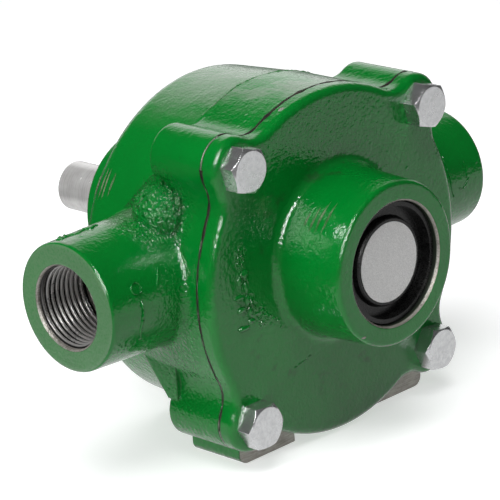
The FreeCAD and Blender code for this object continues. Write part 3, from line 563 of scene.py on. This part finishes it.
def makeMetal(name):
    look = metalLooks[name]
    material, kit, shader, spot = newMaterial(name, {"Metallic": look.get("metallic", 1.0)})
    grain = kit.group(metalGrain, Vector=spot, Stretch=look["stretch"])
    tone = kit.span(grain.outputs["Tone"], 0.3, 0.7)
    # painted shade in the thread valleys: dark from the crests out to the roots
    if "valleyShade" in look:
        far = kit.group(roundRegion, Vector=spot, Centre=(0, portY, portZ), Across=(0, 1, 1))
        start, end = look["valleyShade"]
        tone = kit.span(tone, 0.0, 1.0, 0.7, 1.0)
        tone = kit.times(tone, kit.span(far.outputs["Distance"], start, end, 1.0, 0.0))
    kit.put(shader, "Base Color", kit.mix(tone, look["low"], look["high"]))
    least, most = look["rough"]
    kit.put(shader, "Roughness", kit.span(grain.outputs["Blotch"], 0.3, 0.7, least, most))
    edge = kit.add("ShaderNodeBevel", {"samples": 4}, Radius=metalFinish["edgeRound"])
    bump = kit.add("ShaderNodeBump", Strength=look["bump"], Distance=metalFinish["bumpDepth"])
    kit.put(bump, "Height", grain.outputs["Height"])
    kit.put(bump, "Normal", edge.outputs[0])
    kit.put(shader, "Normal", bump.outputs[0])
    return material


metals = {name: makeMetal(name) for name in metalLooks}

# rubber, plastics and the label

softLooks = {
    "blackRubber": {"low": grey(0.008), "high": grey(0.03), "rough": (0.42, 0.6), "bump": 0.3},
    "capBlack": {"low": grey(0.0035), "high": grey(0.010), "rough": (0.22, 0.38), "bump": 0.15},
    "rollerPlastic": {"low": (0.62, 0.60, 0.52, 1), "high": (0.80, 0.78, 0.71, 1), "rough": (0.32, 0.5),
                      "bump": 0.15},
    "gapDirtShadow": {"low": (0.006, 0.004, 0.003, 1), "high": (0.022, 0.014, 0.008, 1), "rough": (0.6, 0.85),
                "bump": 0.8},
}
softBumpDepth = 0.0001


def makeSoft(name):
    look = softLooks[name]
    material, kit, shader, spot = newMaterial(name, {"Specular IOR Level": 0.3})
    tone = kit.noise(spot, 320, 4, 0.6)
    fine = kit.noise(spot, 2400, 2, 0.5)
    kit.put(shader, "Base Color", kit.mix(kit.span(tone, 0.35, 0.7), look["low"], look["high"]))
    least, most = look["rough"]
    kit.put(shader, "Roughness", kit.span(fine, 0.3, 0.7, least, most))
    bump = kit.add("ShaderNodeBump", Strength=look["bump"], Distance=softBumpDepth)
    kit.put(bump, "Height", kit.maths("MULTIPLY_ADD", fine, 0.4, tone))
    kit.put(shader, "Normal", bump.outputs[0])
    return material


softs = {name: makeSoft(name) for name in softLooks}

labelLook = {
    "dim": grey(0.62, 0.01),
    "bright": grey(0.86, 0.01),
    "cloud": grey(0.66, 0.01),
    "cloudShare": 0.25,
    "rough": (0.34, 0.5),
    "bump": 0.15,
    "bumpDepth": 0.00004,
}


def makeLabelFilm():
    # bare silver-white film with a fine speckle, slightly darker in soft clouds
    look = labelLook
    material, kit, shader, spot = newMaterial("labelFilm", {"Specular IOR Level": 0.4})
    speck = kit.noise(spot, 5200, 2, 0.6)
    cloud = kit.noise(spot, 180, 3, 0.55)
    base = kit.mix(kit.span(speck, 0.38, 0.66), look["dim"], look["bright"])
    base = kit.mix(kit.span(cloud, 0.35, 0.7, 0.0, look["cloudShare"]), base, look["cloud"])
    kit.put(shader, "Base Color", base)
    kit.put(shader, "Roughness", kit.span(cloud, 0.3, 0.7, *look["rough"]))
    bump = kit.add("ShaderNodeBump", Strength=look["bump"], Distance=look["bumpDepth"])
    kit.put(bump, "Height", speck)
    kit.put(shader, "Normal", bump.outputs[0])
    return material


labelFilm = makeLabelFilm()

finishes = {
    "pump_body": casingEnamel, "front_cover": coverEnamel, "cover_bolts": metals["zinc"],
    "drive_shaft": metals["shaftSteel"], "rotor": metals["rotorIron"], "rotor_key": metals["keySteel"],
    "rotor_set_screws": metals["keySteel"], "cover_o_ring": softs["blackRubber"],
    "bearing_cap": softs["capBlack"], "cap_label": labelFilm,
}
for i in range(6):
    finishes["roller_{}".format(i + 1)] = softs["rollerPlastic"]
for side in ("front", "rear"):
    for piece in ("outer_race", "inner_race", "balls"):
        finishes["{}_bearing_{}".format(side, piece)] = metals["bearingSteel"]
    finishes[side + "_bearing_cage"] = metals["cageSteel"]
    finishes[side + "_bearing_seals"] = softs["blackRubber"]
    finishes[side + "_seal_case"] = metals["sealShell"]
    finishes[side + "_seal_lip"] = softs["blackRubber"]
    finishes[side + "_seal_spring"] = metals["cageSteel"]
for node, material in finishes.items():
    dressNode(node, material)
print("materials on", len(finishes), "nodes")

# port threads

threadLook = {
    "pitch": 0.001814,
    "mouthInset": 0.0001,  # first ridge behind the port face
    "length": 0.0178,
    "root": 0.01264,  # just inside the bore's wall
    "crestMouth": 0.01180,
    "crestEnd": 0.01120,
    "crestHalf": 0.20,  # half widths, in pitches
    "rootHalf": 0.44,
    "steps": 96,  # per turn
}


def buildThread(bm, side):
    look = threadLook
    turns = look["length"] / look["pitch"]
    total = int(turns * look["steps"])
    half = look["pitch"] / 2
    crestHalf, rootHalf = look["crestHalf"], look["rootHalf"]
    sections = []
    for i in range(total + 1):
        share = i / total
        angle = 2 * math.pi * i / look["steps"]
        x = portReach - look["mouthInset"] - look["pitch"] * angle / (2 * math.pi) - half
        fade = min(1, share * turns * 1.5, (1 - share) * turns * 1.2)
        crest = look["crestMouth"] + (look["crestEnd"] - look["crestMouth"]) * share
        crest = look["root"] - (look["root"] - crest) * max(0.02, fade)
        ring = []
        for along, radius in ((rootHalf, look["root"]), (crestHalf, crest),
                              (-crestHalf, crest), (-rootHalf, look["root"])):
            y = portY + radius * math.cos(angle) * side
            z = portZ + radius * math.sin(angle)
            ring.append((side * (x + along * look["pitch"]), y, z))
        sections.append(ring)
    sweepSections(bm, sections)


for sideName, side in (("left", -1), ("right", 1)):
    ridge = pieceFrom(sideName + "PortThread", lambda bm: buildThread(bm, side), metals["threadIron"])
    for face in ridge.data.polygons:
        face.use_smooth = False
print("port threads cut")

# joint line between casing and cover: dark dirt in the joint, widened at the top into painted shadow

gapLook = {
    "halfWidth": 0.00030,
    "proud": 0.00006,
    "sunk": 0.0002,
    "wander": 0.00034,
    "wanderScales": (160, 700),
    "widthScale": 420,
    "topShadowWider": 1.0,
}


def coverOutline():
    # the cover's outer edge at the joint face, in order round the flange
    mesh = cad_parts["front_cover"].data
    near = [v.co for v in mesh.vertices if abs(v.co.y - jointY) < 1e-5]
    spots = []
    for co in near:
        reach = math.hypot(co.x, co.z - flangeZ)
        if reach > castRadius * 0.985:
            spots.append((math.atan2(co.z - flangeZ, co.x), reach))
    spots.sort()
    kept = []
    for angle, reach in spots:
        # a corner can come more than once
        if not kept or angle - kept[-1][0] >= 1e-4:
            kept.append((angle, reach))
    return kept


def buildGap(bm):
    look = gapLook
    outline = coverOutline()
    points = [Vector((r * math.cos(a), 0, flangeZ + r * math.sin(a))) for a, r in outline]
    slow, quick = look["wanderScales"]
    low, high = look["proud"] * 0.4, look["proud"]
    sections = []
    for i, point in enumerate(points):
        tangent = points[(i + 1) % len(points)] - points[i - 1]
        outward = Vector((tangent.z, 0, -tangent.x)).normalized()
        shift = look["wander"] * (noise.noise(point * slow) + 0.5 * noise.noise(point * quick))
        uneven = noise.noise(point * look["widthScale"] + Vector((3, 0, 0)))
        wide = look["halfWidth"] * (0.85 + 1.3 * uneven)
        # painted shadow: the dark line widens towards the top, where the casing's edge stands proud of the
        # cover
        wide *= 1 + look["topShadowWider"] * min(1, max(0, (point.z - flangeZ) / 0.03 - 0.4))
        ring = []
        for along, out in ((-wide, -look["sunk"]), (-wide, low), (0, high),
                           (wide, low), (wide, -look["sunk"])):
            place = point + outward * out
            ring.append((place.x, jointY + shift + along, min(place.z, crownZ)))
        sections.append(ring)
    sweepSections(bm, sections, closed=True)


jointLine = pieceFrom("jointLine", buildGap, softs["gapDirtShadow"])

# the mould's parting line over the drum

flashLook = {
    "height": 0.00042,
    "width": 0.0012,
    "sunk": 0.0002,
    "wander": 0.0006,
    "wanderScale": 150,
    "heightScale": 420,
    "from": 62,  # degrees round the flange
    "to": 118,
    "steps": 120,
}


def buildFlash(bm):
    # a low ridge with an uneven crest, over the top of the drum between the ears
    look = flashLook
    heart = Vector((0, drumY + 0.0004, flangeZ))
    half = Vector((0, look["width"] / 2, 0))
    last = look["steps"]
    sections = []
    for i in range(last + 1):
        angle = math.radians(look["from"] + (look["to"] - look["from"]) * i / last)
        out = Vector((math.cos(angle), 0, math.sin(angle)))
        point = heart + out * (castRadius - 0.00003)
        fade = min(1, i / 5, (last - i) / 5)
        rise = look["height"] * (0.35 + 1.1 * abs(noise.noise(point * look["heightScale"]))) * fade
        drift = look["wander"] * noise.noise(point * look["wanderScale"] + Vector((5, 1, 0)))
        base = point + Vector((0, drift, 0))
        section = [
            base - half - out * look["sunk"],
            base - half * 0.5 + out * rise * 0.5,
            base + out * rise,
            base + half * 0.5 + out * rise * 0.5,
            base + half - out * look["sunk"],
        ]
        for spot in section:
            spot.z = min(spot.z, crownZ)
        sections.append(section)
    sweepSections(bm, sections)


def paleCrest(kit, spot):
    # dust held along the ridge, and painted highlight where the ridge catches the light
    return kit.span(kit.noise(spot, 900, 2, 0.6), 0.35, 0.65, 0.15, 0.75)


ridgeEnamel = makeEnamel("ridgeEnamel", casingBare, casingRough, casingGrime, paleCrest, 0.0001)
flash = pieceFrom("moldParting", buildFlash, ridgeEnamel)
print("joint and parting lines laid")

# scars of the sand casting, each laid on the surface that carries it

scarEnamel = makeEnamel("scarEnamel", casingBare, casingRough, casingGrime, casingDust, 0.00012)
bodyTree = BVHTree.FromObject(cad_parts["pump_body"], bpy.context.evaluated_depsgraph_get())
scarLooks = {
    # points, width and height of each ridge, in millimetres
    "lugSeam": {"path": ((-53.1, 9.8, 83.2), (-49.3, 9.4, 85.4), (-49.5, 5.1, 84.6), (-49.8, 1.6, 81.5),
                         (-49.7, 0.4, 78.7), (-50.3, 0.7, 75.0), (-50.9, 1.7, 73.1), (-50.9, -0.5, 70.9),
                         (-51.1, -2.6, 69.1), (-51.8, -5.0, 65.9), (-52.4, -7.0, 62.4)),
                "width": 1.3, "height": 0.62},
    "neckTopScar": {"path": ((-79.0, 18.0, 75.9), (-72.3, 18.8, 75.9), (-64.0, 17.6, 76.5)),
                    "width": 3.6, "height": 0.75},
    "neckNick": {"path": ((-60.9, -2.5, 66.8), (-62.2, -3.6, 64.4), (-63.3, -4.5, 61.9)),
                 "width": 0.8, "height": 0.45},
    "neckCrack": {"path": ((-69.7, -4.7, 59.8), (-70.0, -4.9, 55.0), (-70.1, -4.3, 51.8),
                           (-70.4, -2.6, 47.5)),
                  "width": 1.6, "height": 0.60},
    "rightSeam": {"path": ((63.8, -1.9, 67.6), (64.0, -3.3, 65.1), (64.1, -4.6, 61.4), (64.7, -5.1, 57.0),
                           (65.8, -4.8, 53.4)), "width": 1.0, "height": 0.40},
    "rightArc": {"path": ((72.3, -3.5, 64.0), (72.5, -4.4, 60.8), (72.4, -4.8, 58.2)),
                 "width": 0.8, "height": 0.40},
    "rightHook": {"path": ((68.2, -5.0, 56.1), (70.7, -4.9, 55.4), (73.4, -4.8, 58.3)),
                  "width": 1.2, "height": 0.50},
}
ringLook = {"centre": (-70.9, -3.7, 63.5), "radius": 1.75, "width": 0.95, "height": 0.55, "steps": 30}
scarShape = {
    "sunk": 0.0003,  # how far a ridge's feet go into the casting
    "step": 0.00025,
    "heightScale": 1500,
    "widthScale": 520,
    "wanderScale": 300,
}


def alongPath(points):
    # even steps along a smooth curve through the points
    spots = []
    last = len(points) - 1
    for i in range(last):
        p0, p1, p2, p3 = points[max(0, i - 1)], points[i], points[i + 1], points[min(last, i + 2)]
        count = max(2, int((p2 - p1).length / scarShape["step"]))
        for j in range(count):
            s = j / count
            spots.append(0.5 * (2 * p1 + (p2 - p0) * s + (2 * p0 - 5 * p1 + 4 * p2 - p3) * s * s
                                + (3 * p1 - p0 - 3 * p2 + p3) * s ** 3))
    spots.append(points[last])
    return spots


def layScar(bm, spots, width, height, closed=False):
    # a ridge of uneven width and height along the spots, on the nearest surface
    look = scarShape
    sections = []
    last = len(spots) - 1
    for i, spot in enumerate(spots):
        ahead = spots[(i + 1) % len(spots)] if closed or i < last else spot
        behind = spots[i - 1] if closed or i > 0 else spot
        base, out = bodyTree.find_nearest(spot)[:2]
        side = out.cross(ahead - behind).normalized()
        fade = 1 if closed else min(1, (i + 1) / 4, (last - i + 1) / 4)
        rise = height * (0.5 + 1.5 * abs(noise.noise(base * look["heightScale"]))) * fade
        uneven = noise.noise(base * look["widthScale"] + Vector((2, 7, 0)))
        half = side * (width / 2 * (0.7 + 0.9 * uneven) * fade)
        base = base + side * (width * 0.35 * noise.noise(base * look["wanderScale"]))
        sections.append([
            base - half - out * look["sunk"],
            base - half * 0.55 + out * rise * 0.6,
            base + half * 0.1 + out * rise,
            base + half * 0.6 + out * rise * 0.5,
            base + half - out * look["sunk"],
        ])
    sweepSections(bm, sections, closed)


def buildScars(bm):
    for look in scarLooks.values():
        points = [Vector(p) / 1000 for p in look["path"]]
        layScar(bm, alongPath(points), look["width"] / 1000, look["height"] / 1000)
    look = ringLook
    centre = Vector(look["centre"]) / 1000
    out = bodyTree.find_nearest(centre)[1]
    across = out.cross(Vector((0, 0, 1))).normalized()
    rise = across.cross(out)
    loop = []
    for i in range(look["steps"]):
        angle = 2 * math.pi * i / look["steps"]
        way = across * math.cos(angle) + rise * math.sin(angle)
        loop.append(centre + way * (look["radius"] / 1000))
    layScar(bm, loop, look["width"] / 1000, look["height"] / 1000, closed=True)


scars = pieceFrom("castingScars", buildScars, scarEnamel)

# sand lumps on the cover's face and on the lugs

lumpEnamel = makeEnamel("lumpEnamel", coverBare, noRough, coverGrime, coverDust, 0.00025)
lumpLook = {
    # x and z on the cover's face, half width, half length and height, in millimetres
    "cover": ((-39.2, 60.9, 1.667, 1.3, 0.739), (-41.6, 59.2, 1.0, 1.5, 0.652),
              (-39.2, 56.8, 0.889, 1.9, 0.652), (-41.8, 54.4, 2.0, 0.9, 0.696),
              (-38.8, 52.8, 0.889, 1.7, 0.652), (-41.3, 50.4, 2.0, 0.9, 0.696),
              (-38.2, 49.0, 0.889, 1.7, 0.609), (-40.9, 44.6, 2.444, 0.9, 0.696),
              (-37.6, 46.0, 1.444, 0.8, 0.522), (-35.4, 47.6, 1.0, 0.5, 0.313),
              (-33.1, 48.0, 0.778, 0.5, 0.296), (-31.4, 46.2, 0.889, 0.4, 0.278),
              (-29.9, 45.2, 0.667, 0.5, 0.296), (-28.2, 44.0, 0.556, 0.4, 0.261),
              (-26.6, 42.8, 0.667, 0.4, 0.243), (-25.7, 40.6, 0.556, 0.4, 0.226),
              (-20.5, 26.2, 0.889, 0.3, 0.217), (-18.9, 26.7, 0.556, 0.3, 0.217),
              (-17.4, 26.9, 0.889, 0.3, 0.217), (-15.9, 27.3, 0.444, 0.3, 0.191),
              (-14.4, 27.8, 0.667, 0.3, 0.217)),
    # lumps strewn over each lug, in metres
    "lugHeart": (0.0471, 0.0086, 0.07695),
    "lugReach": 0.0088,
    "lugCount": 34,
    "lugSizes": (0.0004, 0.0010),
    "lugLong": (0.6, 1.5),
    "lugFlat": 0.45,
    # how uneven each lump is
    "swell": 0.35,
    "swellScale": 1.7,
}


def addLump(bm, centre, out, halfWide, halfLong, height):
    # a flattened, uneven blob sunk to its waist
    across = out.cross(Vector((0, 0, 1))).normalized()
    rise = across.cross(out)
    ball = bmesh.ops.create_icosphere(bm, subdivisions=3, radius=1)
    for vert in ball["verts"]:
        p = vert.co.copy()
        swell = 1 + lumpLook["swell"] * noise.noise(p * lumpLook["swellScale"] + centre * 900)
        vert.co = centre + (across * p.x * halfWide + rise * p.y * halfLong + out * p.z * height) * swell


def buildCoverLumps(bm):
    for x, z, wide, long, high in lumpLook["cover"]:
        centre = Vector((x / 1000, coverFaceY, z / 1000))
        addLump(bm, centre, Vector((0, -1, 0)), wide / 1000, long / 1000, high / 1000)


def buildLugLumps(bm):
    look = lumpLook
    random.seed(11)
    for side in (-1, 1):
        x, y, z = look["lugHeart"]
        heart = Vector((side * x, y, z))
        for i in range(look["lugCount"]):
            way = Vector((side * random.uniform(-0.1, 1), random.uniform(-1, 0.5), random.uniform(-0.1, 1)))
            base, out = bodyTree.find_nearest(heart + way.normalized() * look["lugReach"])[:2]
            size = random.uniform(*look["lugSizes"])
            addLump(bm, base, out, size, size * random.uniform(*look["lugLong"]), size * look["lugFlat"])


coverLumps = pieceFrom("coverLumps", buildCoverLumps, lumpEnamel)
lugLumps = pieceFrom("lugLumps", buildLugLumps, scarEnamel)
print("casting scars and lumps laid")

# clamp marks: three fine scratches each, on the hub's cone and on the drum's flank

markLook = {
    "width": 0.00030,
    "lift": 0.00003,
    "waver": 0.0002,
    "spread": 0.0002,
    "jitter": 0.0001,
    "steps": 14,
}
markWalls = [
    # radius and place of the cone's ends, then place, start and end angle of each group of marks
    {"z": axisZ, "cone": ((0.0261, -0.0057), (0.0248, -0.0292)),
     "marks": ((-0.0132, 134.5, 145.4), (-0.0156, 129.7, 148.2), (-0.0177, 124.3, 148.5),
               (-0.0201, 123.8, 148.3))},
    {"z": flangeZ, "cone": ((castRadius, 0.0215), (0.0514, 0.0516)),
     "marks": ((0.0485, 143.3, 154.4), (0.0465, 143.2, 154.3), (0.0451, 143.0, 154.3),
               (0.0427, 144.3, 152.6))},
]


def markRows(wall, place, start, end, part):
    # pairs of points along one scratch, narrow at both ends
    look = markLook
    (wideRadius, wideY), (thinRadius, thinY) = wall["cone"]
    low = start + (end - start) * random.uniform(0, 0.25) * part
    high = end - (end - start) * random.uniform(0, 0.3) * (2 - part) * 0.5
    offset = (part - 1) * look["spread"] + random.uniform(-1, 1) * look["jitter"]
    for i in range(look["steps"] + 1):
        share = i / look["steps"]
        angle = math.radians(low + (high - low) * share)
        y = place + offset + look["waver"] * noise.noise(Vector((angle * 6, place * 900, part)))
        radius = wideRadius + (thinRadius - wideRadius) * (y - wideY) / (thinY - wideY) + look["lift"]
        half = look["width"] * 0.5 * math.sin(math.pi * min(0.97, max(0.03, share))) ** 0.6
        half *= 0.5 + 0.6 * abs(noise.noise(Vector((share * 9, part * 3.1, place * 700))))
        x, z = radius * math.cos(angle), wall["z"] + radius * math.sin(angle)
        yield [(x, jointY + y + w, z) for w in (-half, half)]


def buildMarks(bm):
    random.seed(4)
    for wall in markWalls:
        for place, start, end in wall["marks"]:
            for part in range(3):
                rows = [[bm.verts.new(p) for p in row] for row in markRows(wall, place, start, end, part)]
                for a, b in zip(rows, rows[1:]):
                    bm.faces.new((a[0], a[1], b[1], b[0]))


scratchLook = {"light": (0.36, 0.36, 0.27, 1), "dark": (0.05, 0.07, 0.03, 1), "metallic": 0.5}


def makeScratchedIron():
    # dark iron that shows through a scratch
    look = scratchLook
    material, kit, shader, spot = newMaterial("scratchedIron", {"Metallic": look["metallic"]})
    iron = kit.group(bareIron, Vector=spot, Light=look["light"], Dark=look["dark"])
    kit.put(shader, "Base Color", iron.outputs["Colour"])
    kit.put(shader, "Roughness", iron.outputs["Roughness"])
    return material


marks = pieceFrom("clampMarks", buildMarks, makeScratchedIron())
print("clamp marks drawn")

# stage: floor, light and camera

stageLook = {
    "floorSize": 6.0,
    "floor": (0.80, 0.805, 0.81, 1),
    "floorGlow": 0.55,  # seen only straight from the camera, keeps the paper near white
    "mirrorNear": 0.85,  # brightness of the paper in reflections, on the sheet and off it
    "mirrorFar": 0.10,
    "mirrorCentre": (0.12, -0.12, 0),
    "mirrorReach": (0.29, 0.38),
    "fill": 0.11,
    "roomDark": 0.05,  # brightness of the room in reflections, in front and at the back right
    "roomBright": 1.25,
    "brightSide": (0.70, 0.70, 0.15),
    "brightEdge": (0.72, 0.97),  # how near to that side the wall begins and is full
    "lampAim": (0, 0.01, 0.05),
}
lampLooks = {
    "skyPanel": {"at": (-0.30, -0.14, 1.15), "size": (0.9, 0.9), "power": 12.6, "mirrored": False},
    "leftPanel": {"at": (-1.20, 0.12, 0.40), "size": (0.7, 0.7), "power": 7.2, "mirrored": False},
    # a narrow, strong box that is seen only as a highlight
    "keyStrip": {"at": (-0.63, -0.57, 0.68), "size": (0.09, 0.85), "power": 22.0, "mirrored": True,
                 "along": (0.54, 0.30, 0.76), "lights": False},
}


def makeFloor():
    look = stageLook
    mesh = bpy.data.meshes.new("studioFloor")
    bm = bmesh.new()
    bmesh.ops.create_grid(bm, x_segments=8, y_segments=8, size=look["floorSize"] / 2)
    bm.to_mesh(mesh)
    bm.free()
    floor = bpy.data.objects.new("studioFloor", mesh)
    scene.collection.objects.link(floor)
    material, kit, shader, spot = newMaterial("studioPaper", {"Roughness": 0.7, "Specular IOR Level": 0.1})
    pale = look["floor"]
    dim = tuple(c * 0.985 for c in pale[:3]) + (1,)
    rays = kit.add("ShaderNodeLightPath").outputs
    paper = kit.mix(kit.noise(spot, 3.0, 3, 0.5), dim, pale)
    kit.put(shader, "Base Color", kit.mix(rays["Is Glossy Ray"], paper, (0, 0, 0, 1)))
    far = kit.vectors("DISTANCE", spot, look["mirrorCentre"])
    near, edge = look["mirrorReach"]
    mirror = kit.span(far, near, edge, look["mirrorNear"], look["mirrorFar"])
    glow = kit.maths("MULTIPLY_ADD", rays["Is Camera Ray"], look["floorGlow"],
                     kit.times(rays["Is Glossy Ray"], mirror))
    shader.inputs["Emission Color"].default_value = (1, 1, 1, 1)
    kit.put(shader, "Emission Strength", glow)
    mesh.materials.append(material)


def addLamp(name, look):
    lamp = bpy.data.lights.new(name, "AREA")
    lamp.shape = "RECTANGLE"
    lamp.size, lamp.size_y = look["size"]
    lamp.energy = look["power"]
    obj = bpy.data.objects.new(name, lamp)
    scene.collection.objects.link(obj)
    place = Vector(look["at"])
    back = (place - Vector(stageLook["lampAim"])).normalized()
    across = Vector(look.get("along", (0, 0, 1))).cross(back).normalized()
    turn = Matrix((across, back.cross(across), back)).transposed().to_4x4()
    turn.translation = place
    obj.matrix_world = turn
    obj.visible_glossy = look["mirrored"]
    obj.visible_diffuse = look.get("lights", True)


def makeWorld():
    # white behind the pump, soft fill on it, and a bright wall at the back right in its reflections
    look = stageLook
    world = bpy.data.worlds.new("studioRoom")
    scene.world = world
    world.use_nodes = True
    kit = Nodes(world.node_tree)
    back = world.node_tree.nodes["Background"]
    way = kit.vectors("NORMALIZE", kit.add("ShaderNodeTexCoord").outputs["Generated"])
    toBright = kit.vectors("DOT_PRODUCT", way, tuple(Vector(look["brightSide"]).normalized()))
    start, end = look["brightEdge"]
    room = kit.span(toBright, start, end, look["roomDark"], look["roomBright"])
    rays = kit.add("ShaderNodeLightPath").outputs
    others = kit.maths("SUBTRACT", 1.0, rays["Is Glossy Ray"])
    soft = kit.maths("ADD", kit.times(others, look["fill"]), kit.times(rays["Is Glossy Ray"], room))
    unseen = kit.maths("SUBTRACT", 1.0, rays["Is Camera Ray"])
    back.inputs["Color"].default_value = (1, 1, 1, 1)
    kit.put(back, "Strength", kit.maths("ADD", rays["Is Camera Ray"], kit.times(unseen, soft)))


cameraLook = {
    "azimuth": -44.46,
    "elevation": 18.63,
    "roll": -3.79,
    "distance": 0.82637,
    "lens": 205.03,
    "aim": Vector((-0.03073, -0.010, 0.06464)),
}


def makeCamera():
    look = cameraLook
    a, e, r = [math.radians(look[k]) for k in ("azimuth", "elevation", "roll")]
    back = Vector((math.sin(a) * math.cos(e), -math.cos(a) * math.cos(e), math.sin(e)))
    right = (-back).cross(Vector((0, 0, 1))).normalized()
    up = right.cross(-back)
    across = right * math.cos(r) + up * math.sin(r)
    above = up * math.cos(r) - right * math.sin(r)
    data = bpy.data.cameras.new("photoCamera")
    data.sensor_width = 36
    data.sensor_fit = "HORIZONTAL"
    data.lens = look["lens"]
    data.clip_start = 0.01
    camera = bpy.data.objects.new("photoCamera", data)
    scene.collection.objects.link(camera)
    turn = Matrix((across, above, back)).transposed().to_4x4()
    turn.translation = look["aim"] + back * look["distance"]
    camera.matrix_world = turn
    scene.camera = camera


makeFloor()
for lampName, lampLook in lampLooks.items():
    addLamp(lampName, lampLook)
makeWorld()
makeCamera()
scene.view_settings.view_transform = "Standard"
print("stage set")
